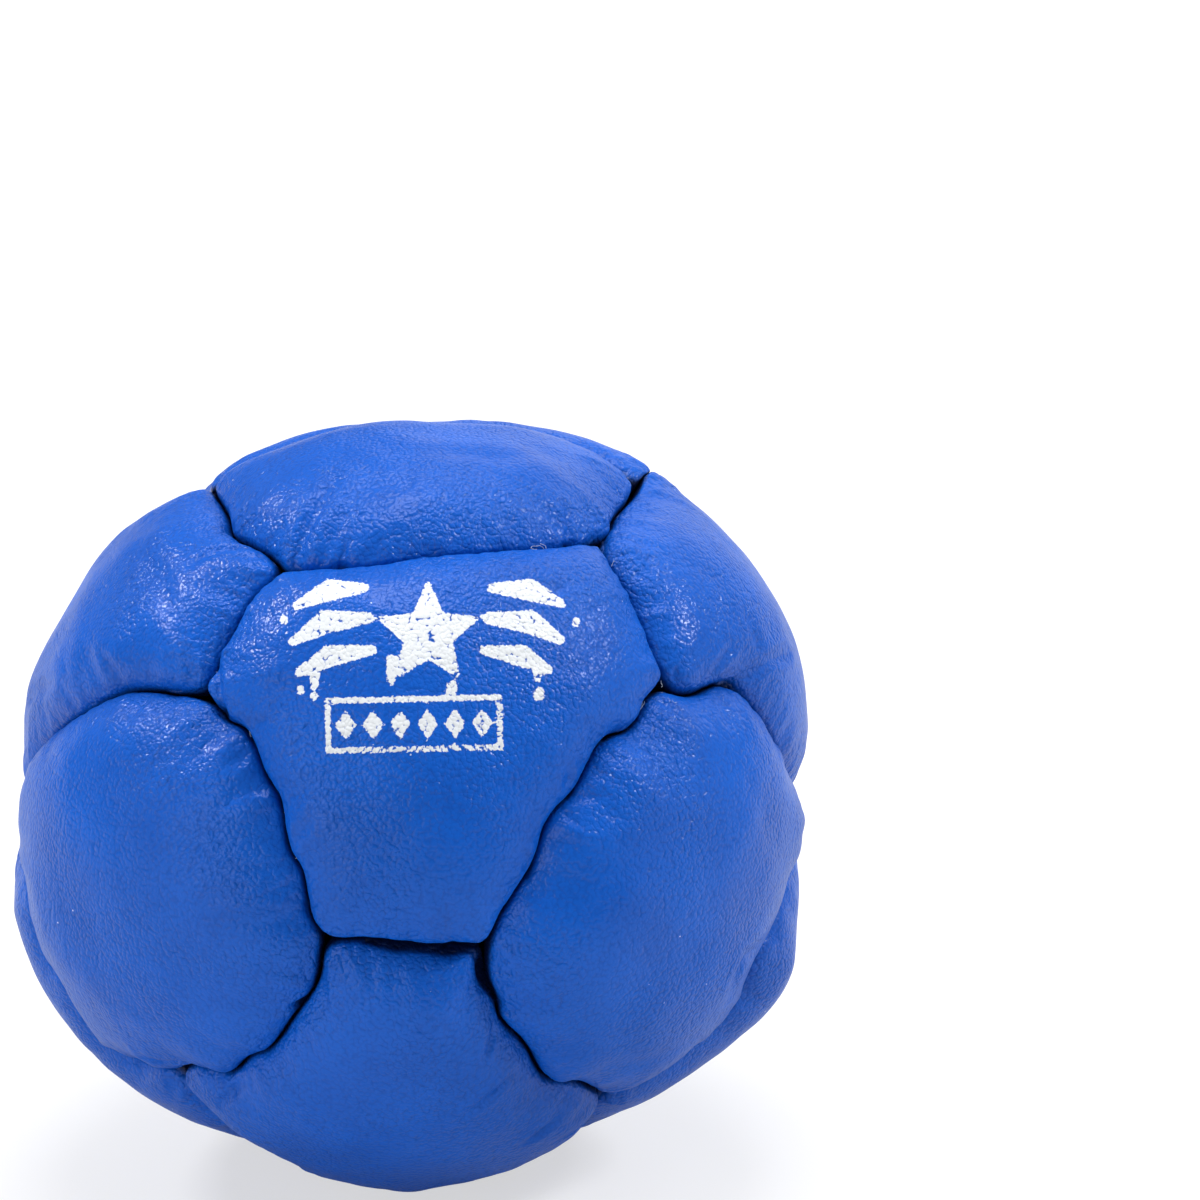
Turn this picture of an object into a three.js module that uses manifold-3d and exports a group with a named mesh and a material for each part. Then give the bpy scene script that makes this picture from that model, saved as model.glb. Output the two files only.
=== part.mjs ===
// A sewn leather footbag: a soft ball of six four-sided and eight six-sided leather panels.
// Each panel is a crowned leather shell whose edge rolls over into a turned-in seam allowance.
// Two allowances lie face to face in every seam, and a thread runs through their stitch holes.
// Loose plastic pellets fill the ball. Lengths are millimetres, +Z is up, and the origin is
// the middle of the flat patch that the ball rests on. The front of the ball faces -Y.

import * as THREE from 'three';
import { mergeVertices } from 'three/addons/utils/BufferGeometryUtils.js';
import Module from 'manifold-3d';

const wasm = await Module();
wasm.setup();

// Driving dimensions
const ballDiameter = 57;
const footDiameter = 15;
const leatherThickness = 0.8;
const seamGap = 0.3;
const grooveDepth = 1.9;
const edgeRoll = 1.3;
const edgeFalloff = 2.6;
const allowanceWidth = 2.2;
const cornerRounding = 0.45;
const cornerMargin = 2.8;
const threadDiameter = 0.5;
const threadClearance = 0.3;
const holeClearance = 0.12;
const holeTaperWidth = 0.12;
const stitchPitch = 5;
const stitchInset = 1.1;
const threadTailLength = 0.7;
const fillingClearance = 0.6;

// Ratio of the two lengths that place a corner: every corner of the even ball is an
// arrangement of zero, one and this reach, which makes the long and the short seams
const cornerReachShare = 1.5;

// Hand-sewn corners that lie off the even pattern, in degrees round and up the ball
const cornerNudges = {
  top_front_right: [17, -1],
  top_back_right: [-35, -4],
  top_back_left: [25, 1],
  top_front_left: [7, -1],
  upper_front_right: [4, -2],
  upper_front_left: [2, 0],
  middle_front_before: [-4, -1],
  middle_front_after: [-3, -2],
  middle_left_after: [-9, -3],
  middle_right_before: [6, -1],
  lower_front_right: [-3, -8],
  lower_front_left: [-9, -2],
  bottom_front_right: [0, -3],
  bottom_front_left: [0, -3],
};

// Swellings and hollows of the soft ball: where they lie, in degrees round and up,
// how far they reach, in degrees, and their height as a share of the ball's radius
const swellings = [
  { round: 8, up: 27, reach: 30, heightShare: 0.075 },
  { round: 31, up: 56, reach: 13, heightShare: 0.05 },
  { round: -12, up: -25, reach: 14, heightShare: 0.09 },
  { round: 184, up: -20, reach: 20, heightShare: 0.058 },
  { round: 207, up: -54, reach: 11, heightShare: -0.028 },
  { round: -31, up: -52, reach: 12, heightShare: -0.034 },
  { round: 88, up: 68, reach: 30, heightShare: -0.008 },
  { round: -80, up: -66, reach: 16, heightShare: -0.007 },
];

// Shares of the way from a panel's rolled edge to its middle, for the ring that crowns it
const crownRingShare = 0.5;
// Share of the core ball's radius where a lobe of the filling starts
const lobeRootShare = 0.8;
const sideMiddleShare = 0.5;
// Share of the stitch spacing that the points of a panel's rings lie before each hole
const besideHoleShare = 0.22;

// Counts
const threadSides = 4;
const holeSides = 4;
const coreDetail = 1;
const searchSteps = 40;

// Sizes worked out from the ones above
const ballRadius = ballDiameter / 2;
const footRadius = footDiameter / 2;
const threadRadius = threadDiameter / 2;
const foldInset = seamGap / 2;
const liningInset = foldInset + leatherThickness;
const threadOffset = liningInset + threadClearance + threadRadius;
const fillingInset = threadOffset + threadRadius + threadClearance;
const centreHeight = Math.sqrt(ballRadius ** 2 - footRadius ** 2);

const leatherBlue = { color: 0x1f5fcf, roughness: 0.42, metalness: 0 };
const threadNavy = { color: 0x16306e, roughness: 0.7, metalness: 0 };
const pelletWhite = { color: 0xd9dde0, roughness: 0.5, metalness: 0 };

// A unit vector that points round and up the ball by the given degrees
function pointing(round, up) {
  const azimuth = THREE.MathUtils.degToRad(round);
  const lift = THREE.MathUtils.degToRad(up);
  const flat = Math.cos(lift);
  return new THREE.Vector3(flat * Math.cos(azimuth), flat * Math.sin(azimuth), Math.sin(lift));
}

const swellingAxes = swellings.map((swelling) => pointing(swelling.round, swelling.up));

// Distance from the ball's middle to the crown of the leather in one direction
function crownRadius(direction) {
  let share = 1;
  swellings.forEach((swelling, index) => {
    const away = THREE.MathUtils.radToDeg(direction.angleTo(swellingAxes[index]));
    share += swelling.heightShare * Math.exp(-((away / swelling.reach) ** 2));
  });
  return ballRadius * share;
}

// Distance from the ball's middle to the fold at the bottom of a seam's groove
function foldRadius(direction) {
  return crownRadius(direction) - grooveDepth;
}

// Height of the leather above the fold, at a distance in from the fold
function riseFromFold(inward) {
  const rolled = Math.min(inward, edgeRoll);
  const roll = Math.sqrt(edgeRoll ** 2 - (edgeRoll - rolled) ** 2);
  const beyond = Math.max(inward - edgeRoll, 0);
  return roll + (grooveDepth - edgeRoll) * (1 - Math.exp(-beyond / edgeFalloff));
}

// Corners

// The even ball repeats every quarter turn
const quarterTurn = 90;
const eighthTurn = quarterTurn / 2;

const quarters = ['front', 'right', 'back', 'left'];
const diagonals = ['front_right', 'back_right', 'back_left', 'front_left'];

function evenCorners() {
  const steep = THREE.MathUtils.radToDeg(Math.atan(cornerReachShare));
  const shallow = quarterTurn - steep;
  const split = steep - eighthTurn;
  const corners = {};
  diagonals.forEach((name, index) => {
    const round = quarterTurn * index - eighthTurn;
    corners['top_' + name] = [round, steep];
    corners['upper_' + name] = [round, shallow];
    corners['lower_' + name] = [round, -shallow];
    corners['bottom_' + name] = [round, -steep];
  });
  quarters.forEach((name, index) => {
    const round = quarterTurn * (index - 1);
    corners['middle_' + name + '_before'] = [round - split, 0];
    corners['middle_' + name + '_after'] = [round + split, 0];
  });
  return corners;
}

function sewnCorners() {
  const corners = {};
  for (const [name, [round, up]] of Object.entries(evenCorners())) {
    const [turn, lift] = cornerNudges[name] ?? [0, 0];
    corners[name] = pointing(round + turn, up + lift);
  }
  return corners;
}

// Panels: each is named and lists its corners anticlockwise, as seen from outside

function panelOutlines() {
  const outlines = {
    square_panel_top: diagonals.map((name) => 'top_' + name),
    square_panel_bottom: diagonals.map((name) => 'bottom_' + name).reverse(),
  };
  diagonals.forEach((diagonal, index) => {
    const quarter = quarters[index];
    const next = quarters[(index + 1) % quarters.length];
    outlines['square_panel_' + diagonal] = [
      'upper_' + diagonal,
      'middle_' + quarter + '_after',
      'lower_' + diagonal,
      'middle_' + next + '_before',
    ];
  });
  quarters.forEach((quarter, index) => {
    const after = diagonals[index];
    const before = diagonals[(index + diagonals.length - 1) % diagonals.length];
    outlines['hexagon_panel_upper_' + quarter] = [
      'top_' + before,
      'upper_' + before,
      'middle_' + quarter + '_before',
      'middle_' + quarter + '_after',
      'upper_' + after,
      'top_' + after,
    ];
    outlines['hexagon_panel_lower_' + quarter] = [
      'middle_' + quarter + '_before',
      'lower_' + before,
      'bottom_' + before,
      'bottom_' + after,
      'lower_' + after,
      'middle_' + quarter + '_after',
    ];
  });
  return outlines;
}

// A seam runs between two six-sided panels over a short way, and else over a long one
function isShort(from, to) {
  const levels = [from.split('_')[0], to.split('_')[0]].sort().join(' ');
  return ['top upper', 'bottom lower', 'middle middle'].includes(levels);
}

// A point along the great circle from one corner to the next
function along(from, to, share) {
  const angle = from.angleTo(to);
  const start = from.clone().multiplyScalar(Math.sin(angle * (1 - share)));
  const end = to.clone().multiplyScalar(Math.sin(angle * share));
  return start.add(end).normalize();
}

// A panel's sides, with the inward normal of the plane that each seam lies in
function panelOf(name, cornerNames, corners) {
  const points = cornerNames.map((corner) => corners[corner]);
  const axis = points.reduce((sum, point) => sum.add(point), new THREE.Vector3()).normalize();
  const sides = points.map((from, index) => {
    const next = (index + 1) % points.length;
    const to = points[next];
    const inward = from.clone().cross(to).normalize();
    const short = isShort(cornerNames[index], cornerNames[next]);
    return { from, to, inward, short, ends: [cornerNames[index], cornerNames[next]] };
  });
  return { name, axis, sides };
}

// Distance of a point from the panel's seams, rounded off at the panel's corners
function insetOf(panel, point) {
  let sum = 0;
  for (const side of panel.sides) {
    sum += Math.exp(-point.dot(side.inward) / cornerRounding);
  }
  return -cornerRounding * Math.log(sum);
}

// Directions of a panel's corners, and of chosen shares of the way along each side
function edgeDirections(panel, sharesOf) {
  return panel.sides.flatMap((side) => {
    return [side.from, ...sharesOf(side).map((share) => along(side.from, side.to, share))];
  });
}

// Shares of the way along a seam where a panel's rings have a point: a little before each
// stitch hole, so that no edge of the mesh crosses a hole, and once past the last hole
function besideStitches(side) {
  const holes = stitchShares(side);
  const spacing = holes[1] - holes[0];
  const last = holes[holes.length - 1];
  return [...holes.map((hole) => hole - besideHoleShare * spacing), (last + 1) / 2];
}

// The middle of a long side, where a lobe of the filling needs one more point
function middleOfLong(side) {
  return side.short ? [] : [sideMiddleShare];
}

// The point at a given inset, on the way from the panel's middle to a direction on its edge
function pointAtInset(panel, edge, inset, radiusOf) {
  let near = 0;
  let far = 1;
  for (let step = 0; step < searchSteps; step += 1) {
    const middle = (near + far) / 2;
    const direction = along(panel.axis, edge, middle);
    const point = direction.clone().multiplyScalar(radiusOf(direction));
    if (insetOf(panel, point) > inset) near = middle;
    else far = middle;
  }
  const direction = along(panel.axis, edge, near);
  return direction.multiplyScalar(radiusOf(direction));
}

function ringAtInset(panel, inset, radiusOf, sharesOf = besideStitches) {
  const edges = edgeDirections(panel, sharesOf);
  return edges.map((edge) => pointAtInset(panel, edge, inset, radiusOf));
}

// Geometry

// A closed surface through rings of points, with a point or a flat fan over each end
function loft(rings, firstPole, lastPole) {
  const count = rings[0].length;
  const points = rings.flat();
  const faces = [];
  for (let ring = 0; ring < rings.length - 1; ring += 1) {
    for (let index = 0; index < count; index += 1) {
      const next = (index + 1) % count;
      const [a, b] = [ring * count + index, ring * count + next];
      const [c, d] = [a + count, b + count];
      faces.push([a, b, d], [a, d, c]);
    }
  }
  const lastStart = (rings.length - 1) * count;
  const poleIndex = (pole, start) => (pole ? points.push(pole) - 1 : start);
  const first = poleIndex(firstPole, 0);
  const last = poleIndex(lastPole, lastStart);
  for (let index = 0; index < count; index += 1) {
    const next = (index + 1) % count;
    faces.push([first, next, index], [last, lastStart + index, lastStart + next]);
  }
  const geometry = new THREE.BufferGeometry().setFromPoints(points);
  geometry.setIndex(faces.filter((face) => new Set(face).size === face.length).flat());
  return facingOut(geometry);
}

// Turns a closed surface's faces round if they point inwards
function facingOut(geometry) {
  const [a, b, c] = [new THREE.Vector3(), new THREE.Vector3(), new THREE.Vector3()];
  const { position } = geometry.attributes;
  const indices = [...geometry.index.array];
  let volume = 0;
  for (let face = 0; face < indices.length; face += 3) {
    a.fromBufferAttribute(position, indices[face]);
    b.fromBufferAttribute(position, indices[face + 1]);
    c.fromBufferAttribute(position, indices[face + 2]);
    volume += a.dot(b.cross(c));
  }
  if (volume < 0) geometry.setIndex(indices.reverse());
  return geometry;
}

function toSolid(geometry) {
  const bare = geometry.clone();
  bare.deleteAttribute('normal');
  bare.deleteAttribute('uv');
  const merged = mergeVertices(bare);
  const mesh = new wasm.Mesh({
    numProp: 3,
    vertProperties: new Float32Array(merged.attributes.position.array),
    triVerts: new Uint32Array(merged.index.array),
  });
  return new wasm.Manifold(mesh);
}

function toGeometry(solid) {
  const mesh = solid.getMesh();
  const geometry = new THREE.BufferGeometry();
  geometry.setAttribute('position', new THREE.BufferAttribute(mesh.vertProperties, 3));
  geometry.setIndex(new THREE.BufferAttribute(mesh.triVerts, 1));
  return geometry;
}

// Seams: where the stitches of one side go through both allowances

// Shares of the way along a seam where the thread passes through the leather
function stitchShares(side) {
  const length = side.from.angleTo(side.to) * (ballRadius - grooveDepth - stitchInset);
  const margin = cornerMargin / length;
  const stitches = Math.max(Math.round((length - 2 * cornerMargin) / stitchPitch), 1);
  return Array.from({ length: stitches + 1 }, (_, stitch) => {
    return margin + (1 - 2 * margin) * (stitch / stitches);
  });
}

function stitchPoint(side, share) {
  const direction = along(side.from, side.to, share);
  return direction.multiplyScalar(foldRadius(direction) - stitchInset);
}

// A tapered point, like an awl's, that makes a panel's half of one stitch hole
function holeCutter(side, share) {
  const narrow = threadRadius + holeClearance;
  const wide = narrow + holeTaperWidth;
  const length = (liningInset * wide) / holeTaperWidth;
  const point = new THREE.ConeGeometry(wide, length, holeSides);
  point.translate(0, length / 2, 0);
  const turn = new THREE.Quaternion();
  turn.setFromUnitVectors(new THREE.Vector3(0, 1, 0), side.inward);
  point.applyQuaternion(turn);
  const place = stitchPoint(side, share);
  point.translate(place.x, place.y, place.z);
  return toSolid(point);
}

// The leather panel: from the raw edge of its allowance, up to the fold, over the rolled
// edge to the crown, and back along its lining to the raw edge

function leatherPanel(panel) {
  const restsOnFloor = panel.name === 'square_panel_bottom';
  const raised = (rise) => (direction) => foldRadius(direction) + rise;
  const rollMiddle = edgeRoll * (1 - Math.SQRT1_2);
  const outer = [
    ringAtInset(panel, foldInset, raised(-allowanceWidth)),
    ringAtInset(panel, foldInset, raised(0)),
    ringAtInset(panel, foldInset + rollMiddle, raised(riseFromFold(rollMiddle))),
    ringAtInset(panel, foldInset + edgeRoll, raised(edgeRoll)),
  ];
  const lining = [
    ringAtInset(panel, foldInset + edgeRoll, raised(edgeRoll - leatherThickness)),
    ringAtInset(panel, liningInset, raised(0)),
    ringAtInset(panel, liningInset, raised(-allowanceWidth)),
  ];
  const crown = restsOnFloor ? footRing(panel, outer[3]) : crownRing(panel, outer[3]);
  const thinner = (point) => point.clone().setLength(point.length() - leatherThickness);
  const crownLining = restsOnFloor ? crown.map(raisedOffFloor) : crown.map(thinner);
  const middle = restsOnFloor ? floorPoint() : crownPoint(panel, panel.axis);
  const middleLining = restsOnFloor ? raisedOffFloor(middle) : thinner(middle);
  return toSolid(shell([...outer, crown], middle, [crownLining, ...lining], middleLining));
}

// The crown's surface in one direction
function crownPoint(panel, direction) {
  const radius = crownRadius(direction);
  const inset = insetOf(panel, direction.clone().multiplyScalar(radius)) - foldInset;
  return direction.clone().setLength(foldRadius(direction) + riseFromFold(inset));
}

function crownRing(panel, edge) {
  return edge.map((point) => {
    const direction = along(panel.axis, point.clone().normalize(), crownRingShare);
    return crownPoint(panel, direction);
  });
}

// The ring round the flat patch on the floor
function footRing(panel, edge) {
  return edge.map((point) => {
    const flat = new THREE.Vector3(point.x, point.y, 0).setLength(footRadius);
    return flat.setZ(-centreHeight);
  });
}

function floorPoint() {
  return new THREE.Vector3(0, 0, -centreHeight);
}

function raisedOffFloor(point) {
  return point.clone().setZ(point.z + leatherThickness);
}

// A closed shell: outside rings up to a pole, inside rings back down, joined at the raw edge
function shell(outside, pole, inside, innerPole) {
  const count = outside[0].length;
  const points = [...outside.flat(), pole, ...inside.flat(), innerPole];
  const polePlace = outside.length * count;
  const insideStart = polePlace + 1;
  const innerPolePlace = points.length - 1;
  const lastInside = insideStart + (inside.length - 1) * count;
  const faces = [];
  const band = (lower, upper) => {
    for (let index = 0; index < count; index += 1) {
      const next = (index + 1) % count;
      faces.push([lower + index, lower + next, upper + next]);
      faces.push([lower + index, upper + next, upper + index]);
    }
  };
  const fan = (ring, place, turned) => {
    for (let index = 0; index < count; index += 1) {
      const next = (index + 1) % count;
      faces.push(turned ? [ring + next, ring + index, place] : [ring + index, ring + next, place]);
    }
  };
  for (let ring = 0; ring < outside.length - 1; ring += 1) {
    band(ring * count, (ring + 1) * count);
  }
  fan((outside.length - 1) * count, polePlace, false);
  fan(insideStart, innerPolePlace, true);
  for (let ring = 0; ring < inside.length - 1; ring += 1) {
    band(insideStart + ring * count, insideStart + (ring + 1) * count);
  }
  band(lastInside, 0);
  const geometry = new THREE.BufferGeometry().setFromPoints(points);
  geometry.setIndex(faces.flat());
  return facingOut(geometry);
}

function withStitchHoles(solid, panel) {
  let holed = solid;
  for (const side of panel.sides) {
    for (const share of stitchShares(side)) {
      holed = holed.subtract(holeCutter(side, share));
    }
  }
  return holed;
}

// The thread: it goes through each hole and lies on alternate faces of the seam between holes

function seamThread(side) {
  const shares = stitchShares(side);
  const seamLength = stitchPoint(side, shares[0]).length() * side.from.angleTo(side.to);
  const tailShare = threadTailLength / seamLength;
  const route = [new THREE.Vector2(shares[0] - tailShare, 1)];
  shares.forEach((share, index) => {
    const arriving = index % 2 === 0 ? 1 : -1;
    route.push(new THREE.Vector2(share, arriving), new THREE.Vector2(share, -arriving));
  });
  const lastFace = route[route.length - 1].y;
  route.push(new THREE.Vector2(shares[shares.length - 1] + tailShare, lastFace));
  return loft(route.map((_, index) => threadRing(side, route, index, seamLength)));
}

// One ring of the thread, mitred where the thread turns into or out of a hole
function threadRing(side, route, index, seamLength) {
  const scaled = (point) => new THREE.Vector2(point.x * seamLength, point.y * threadOffset);
  const here = scaled(route[index]);
  const before = index > 0 ? here.clone().sub(scaled(route[index - 1])).normalize() : null;
  const after = index < route.length - 1 ? scaled(route[index + 1]).sub(here).normalize() : null;
  const arriving = before ?? after;
  const leaving = after ?? before;
  const aside = new THREE.Vector2(-arriving.y - leaving.y, arriving.x + leaving.x);
  aside.divideScalar(1 + arriving.dot(leaving));
  const centre = stitchPoint(side, route[index].x).addScaledVector(side.inward, here.y);
  const outward = along(side.from, side.to, route[index].x);
  const forward = side.inward.clone().negate().cross(outward).normalize().negate();
  const across = forward.multiplyScalar(aside.x).addScaledVector(side.inward, aside.y);
  return Array.from({ length: threadSides }, (_, corner) => {
    const angle = ((corner + 0.5) / threadSides) * 2 * Math.PI;
    const point = centre.clone().addScaledVector(across, threadRadius * Math.cos(angle));
    return point.addScaledVector(outward, threadRadius * Math.sin(angle));
  });
}

// The pellets: a core inside the allowances, with a lobe that fills each panel

function pelletFilling(panels) {
  const coreRadius = (direction) => foldRadius(direction) - allowanceWidth - fillingClearance;
  const core = new THREE.IcosahedronGeometry(1, coreDetail);
  const { position } = core.attributes;
  for (let index = 0; index < position.count; index += 1) {
    const direction = new THREE.Vector3().fromBufferAttribute(position, index).normalize();
    const point = direction.clone().multiplyScalar(coreRadius(direction));
    position.setXYZ(index, point.x, point.y, point.z);
  }
  let filling = toSolid(core);
  for (const panel of panels) {
    filling = filling.add(fillingLobe(panel, coreRadius));
  }
  return filling;
}

function fillingLobe(panel, coreRadius) {
  const below = leatherThickness + fillingClearance;
  const rootRadius = (direction) => coreRadius(direction) * lobeRootShare;
  const topRadius = (direction) => foldRadius(direction) + edgeRoll - below;
  const root = ringAtInset(panel, fillingInset, rootRadius, middleOfLong);
  const shoulder = ringAtInset(panel, fillingInset, topRadius, middleOfLong);
  const lowest = -centreHeight + below;
  const lowered = (point) => point.clone().setLength(point.length() - below);
  const crown = crownRing(panel, shoulder).map(lowered);
  const pole = lowered(crownPoint(panel, panel.axis));
  [...crown, pole].forEach((point) => point.setZ(Math.max(point.z, lowest)));
  const rootPole = panel.axis.clone().multiplyScalar(rootRadius(panel.axis));
  return toSolid(loft([root, shoulder, crown], rootPole, pole));
}

// Assembly

function meshOf(name, geometry, finish) {
  const mesh = new THREE.Mesh(geometry, new THREE.MeshStandardMaterial(finish));
  mesh.name = name;
  return mesh;
}

// A thread is named for the two corners that its seam joins
function threadName(side) {
  return 'seam_thread_' + side.ends.join('_to_');
}

const corners = sewnCorners();
const panels = Object.entries(panelOutlines()).map(([name, names]) => panelOf(name, names, corners));

const footbag = new THREE.Group();
footbag.position.z = centreHeight;

for (const panel of panels) {
  const leather = withStitchHoles(leatherPanel(panel), panel);
  footbag.add(meshOf(panel.name, toGeometry(leather), leatherBlue));
}

const sewn = new Set();
for (const side of panels.flatMap((panel) => panel.sides)) {
  const seam = [...side.ends].sort().join(' ');
  if (!sewn.has(seam)) footbag.add(meshOf(threadName(side), seamThread(side), threadNavy));
  sewn.add(seam);
}

footbag.add(meshOf('pellet_filling', toGeometry(pelletFilling(panels)), pelletWhite));

export default footbag;
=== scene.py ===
"""A soft leather footbag: fourteen crowned leather panels sewn edge to edge round loose pellets.

Lengths here are millimetres measured from the middle of the ball, until a mesh is made:
then they become metres, with the flat patch that the ball rests on at the origin.
"""

import math

import bmesh
import bpy
import numpy as np
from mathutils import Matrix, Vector


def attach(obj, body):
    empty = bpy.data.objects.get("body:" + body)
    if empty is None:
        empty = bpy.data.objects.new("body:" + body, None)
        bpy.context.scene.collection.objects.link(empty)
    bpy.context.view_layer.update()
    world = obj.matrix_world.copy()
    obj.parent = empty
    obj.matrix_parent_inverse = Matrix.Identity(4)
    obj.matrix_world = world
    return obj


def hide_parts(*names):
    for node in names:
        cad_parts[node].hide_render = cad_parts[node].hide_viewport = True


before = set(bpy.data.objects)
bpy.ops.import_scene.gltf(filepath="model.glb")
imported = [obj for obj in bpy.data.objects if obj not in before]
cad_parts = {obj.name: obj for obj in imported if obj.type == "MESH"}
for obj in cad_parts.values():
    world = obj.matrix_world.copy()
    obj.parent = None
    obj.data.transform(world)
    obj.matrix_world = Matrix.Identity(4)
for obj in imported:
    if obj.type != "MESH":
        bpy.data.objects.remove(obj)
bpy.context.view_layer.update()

# Sizes of the ball. The solid part's grooves are shallower and its stitches wider apart.
MM = 0.001
BALL_RADIUS = 28.5
FOOT_RADIUS = 7.5
FOOT_SOFTNESS = 0.35
CENTRE_HEIGHT = math.sqrt(BALL_RADIUS**2 - FOOT_RADIUS**2)
GROOVE_DEPTH = 2.4
LEATHER_THICKNESS = 0.8
SEAM_GAP = 0.3
TOUCHING_GAP = 0.03
ALLOWANCE = 2.2
CORNER_ROUNDING = 0.45
EVEN_BLUNTNESS = math.sin(math.radians(60))
CORNER_REACH = 1.5

# Stitches: how far apart, from a seam's end, from its middle and under the fold
STITCH_PITCH = 3.0
END_STITCH = 2.4
STITCH_OFF = 1.3
STITCH_DEPTH = 1.1
THREAD_RADIUS = 0.25
FIBRE_RADIUS = 0.02

# Filling under the leather
LINING_DEPTH = 1.8
LOBE_START = 3.1
LOBE_SLOPE = 2.0
PELLET_RADIUS = 1.4
PELLET_CLEARANCE = 0.5
PELLET_PACKING = 0.85

# Leather surface
EDGE_ROLL = 1.4
EDGE_FALLOFF = 2.4
PEBBLES_A_MM = 3.4
PEBBLE_DEPTH = (0.028, 0.022)
CREASE_DEPTH = 0.06
CRACK_DEPTH = 0.016
DEEP_BLUE = (0.001, 0.075, 0.42)
CLEAR_BLUE = (0.002, 0.092, 0.495)
PALE_INK = (0.66, 0.69, 0.72, 1)

# What the stitches do to the leather beside a seam
NOTCH_WIDTH = 0.4
NOTCH_DEPTH = 0.12
SCALLOP_HEIGHT = 0.03
PUCKER_HEIGHT = 0.06
PUCKER_LENGTH = 2.4
FINE_PUCKER_HEIGHT = 0.03
FINE_PUCKER_LENGTH = 0.95
HAIR_PUCKER_HEIGHT = 0.01
HAIR_PUCKER_LENGTH = 0.5
PUCKER_LEAN = 0.3
PUCKER_START = 0.6
FOLD_SPACING = 0.38
SOFT_WAVES = ((0, 9.0, 0.12), (40, 3.2, 0.035))

# The cloth simulation of a panel: lengths in millimetres, slack as a share of the length.
# In the simulation CLOTH_UNIT millimetres are one metre, where its stiffness is steady.
CLOTH_STEPS = 34
EDGE_PACKING = 1.5
CLOTH_UNIT = 10.0
SEWN_STRIP = 0.3
GATHER_REACH = 2.5
SLACK_IN_THE_MIDDLE = 0.01
SLACK_AT_THE_SEAMS = 0.7
RISE_LIMITS = (-0.45, 0.45)
MIDDLE_SHARE = 0.5
MOST_SLIP = 0.25
CLOTH = {
    "quality": 6,
    "mass": 0.3,
    "tension_stiffness": 30,
    "compression_stiffness": 30,
    "shear_stiffness": 15,
    "bending_stiffness": 0.05,
    "air_damping": 2,
    "use_pressure": True,
    "uniform_pressure_force": 4,
    "vertex_group_mass": "sewn",
    "vertex_group_shrink": "gathered",
    "shrink_min": -SLACK_IN_THE_MIDDLE,
    "shrink_max": -SLACK_AT_THE_SEAMS,
}

# Which way the leather stretches in a panel: degrees up from level as seen from outside
HIDE_TURNS = {
    "square_panel_top": 4,
    "hexagon_panel_upper_front": 75,
    "hexagon_panel_upper_right": -50,
    "hexagon_panel_upper_left": 50,
    "square_panel_front_left": 80,
    "square_panel_front_right": -60,
    "hexagon_panel_lower_front": 10,
}

# How far each corner lies from its even place: degrees round and up
CORNER_NUDGES = {
    "top_front_right": (17, -1),
    "top_back_right": (-35, -4),
    "top_back_left": (25, 1),
    "top_front_left": (7, -1),
    "upper_front_right": (4, -2),
    "upper_front_left": (2, 0),
    "middle_front_before": (-4, -1),
    "middle_front_after": (-3, -2),
    "middle_left_after": (-14, -3),
    "middle_right_before": (10, -1),
    "lower_front_right": (-3, -8),
    "lower_front_left": (-9, -2),
    "bottom_front_right": (0, -3),
    "bottom_front_left": (0, -3),
}

# Swellings of the whole ball: degrees round, degrees up, reach in degrees, share of the radius
SWELLINGS = [
    (8, 27, 30, 0.075),
    (31, 56, 13, 0.05),
    (-12, -25, 14, 0.078),
    (184, -20, 20, 0.058),
    (207, -54, 11, -0.028),
    (-31, -52, 12, -0.034),
    (88, 66, 28, -0.02),
    (-80, -66, 16, -0.007),
]

# Places where the seams lie shallower: the same, with the share of the depth that is lost
SHALLOWS = [
    (19, 50, 6, -0.85),
    (156, 58, 8, -0.45),
    (80, 73, 14, -0.4),
]

QUARTERS = ("front", "right", "back", "left")
DIAGONALS = ("front_right", "back_right", "back_left", "front_left")


# Directions and corners


def pointing(turn, lift):
    """A unit vector that points round and up the ball by the given degrees."""
    a, e = math.radians(turn), math.radians(lift)
    return np.array([math.cos(e) * math.cos(a), math.cos(e) * math.sin(a), math.sin(e)])


def unit(v):
    return v / np.linalg.norm(v, axis=-1, keepdims=True)


def bell(gap, reach):
    """One at no gap, falling off smoothly over the reach."""
    return np.exp(-((gap / reach) ** 2))


def apart(d, direction):
    """The angle between rows of directions and one direction."""
    return np.arccos(np.clip(d @ direction, -1, 1))


def one_with(d, changes):
    """One, changed softly round some places: degrees round and up, reach in degrees, change."""
    share = np.ones(d.shape[:-1])
    for turn, lift, reach, change in changes:
        share += change * bell(np.degrees(apart(d, pointing(turn, lift))), reach)
    return share


def crown_radius(d):
    """Distance from the ball's middle to the crown of the leather, for rows of directions."""
    return BALL_RADIUS * one_with(d, SWELLINGS)


def groove_share(d):
    """Depth of the seams as a share of their usual depth, for rows of directions."""
    return one_with(d, SHALLOWS)


def fold_radius(d):
    """Distance to the fold of the leather at the foot of its rolled edge."""
    return crown_radius(d) - GROOVE_DEPTH * groove_share(d)


def sewn_corners():
    steep = math.degrees(math.atan(CORNER_REACH))
    shallow, split = 90 - steep, steep - 45
    even = {}
    for i, name in enumerate(DIAGONALS):
        turn = -45 + 90 * i
        even["top_" + name] = (turn, steep)
        even["upper_" + name] = (turn, shallow)
        even["lower_" + name] = (turn, -shallow)
        even["bottom_" + name] = (turn, -steep)
    for i, name in enumerate(QUARTERS):
        turn = -90 + 90 * i
        even["middle_" + name + "_before"] = (turn - split, 0)
        even["middle_" + name + "_after"] = (turn + split, 0)
    corners = {}
    for name, (turn, lift) in even.items():
        more_turn, more_lift = CORNER_NUDGES.get(name, (0, 0))
        corners[name] = pointing(turn + more_turn, lift + more_lift)
    return corners


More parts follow.
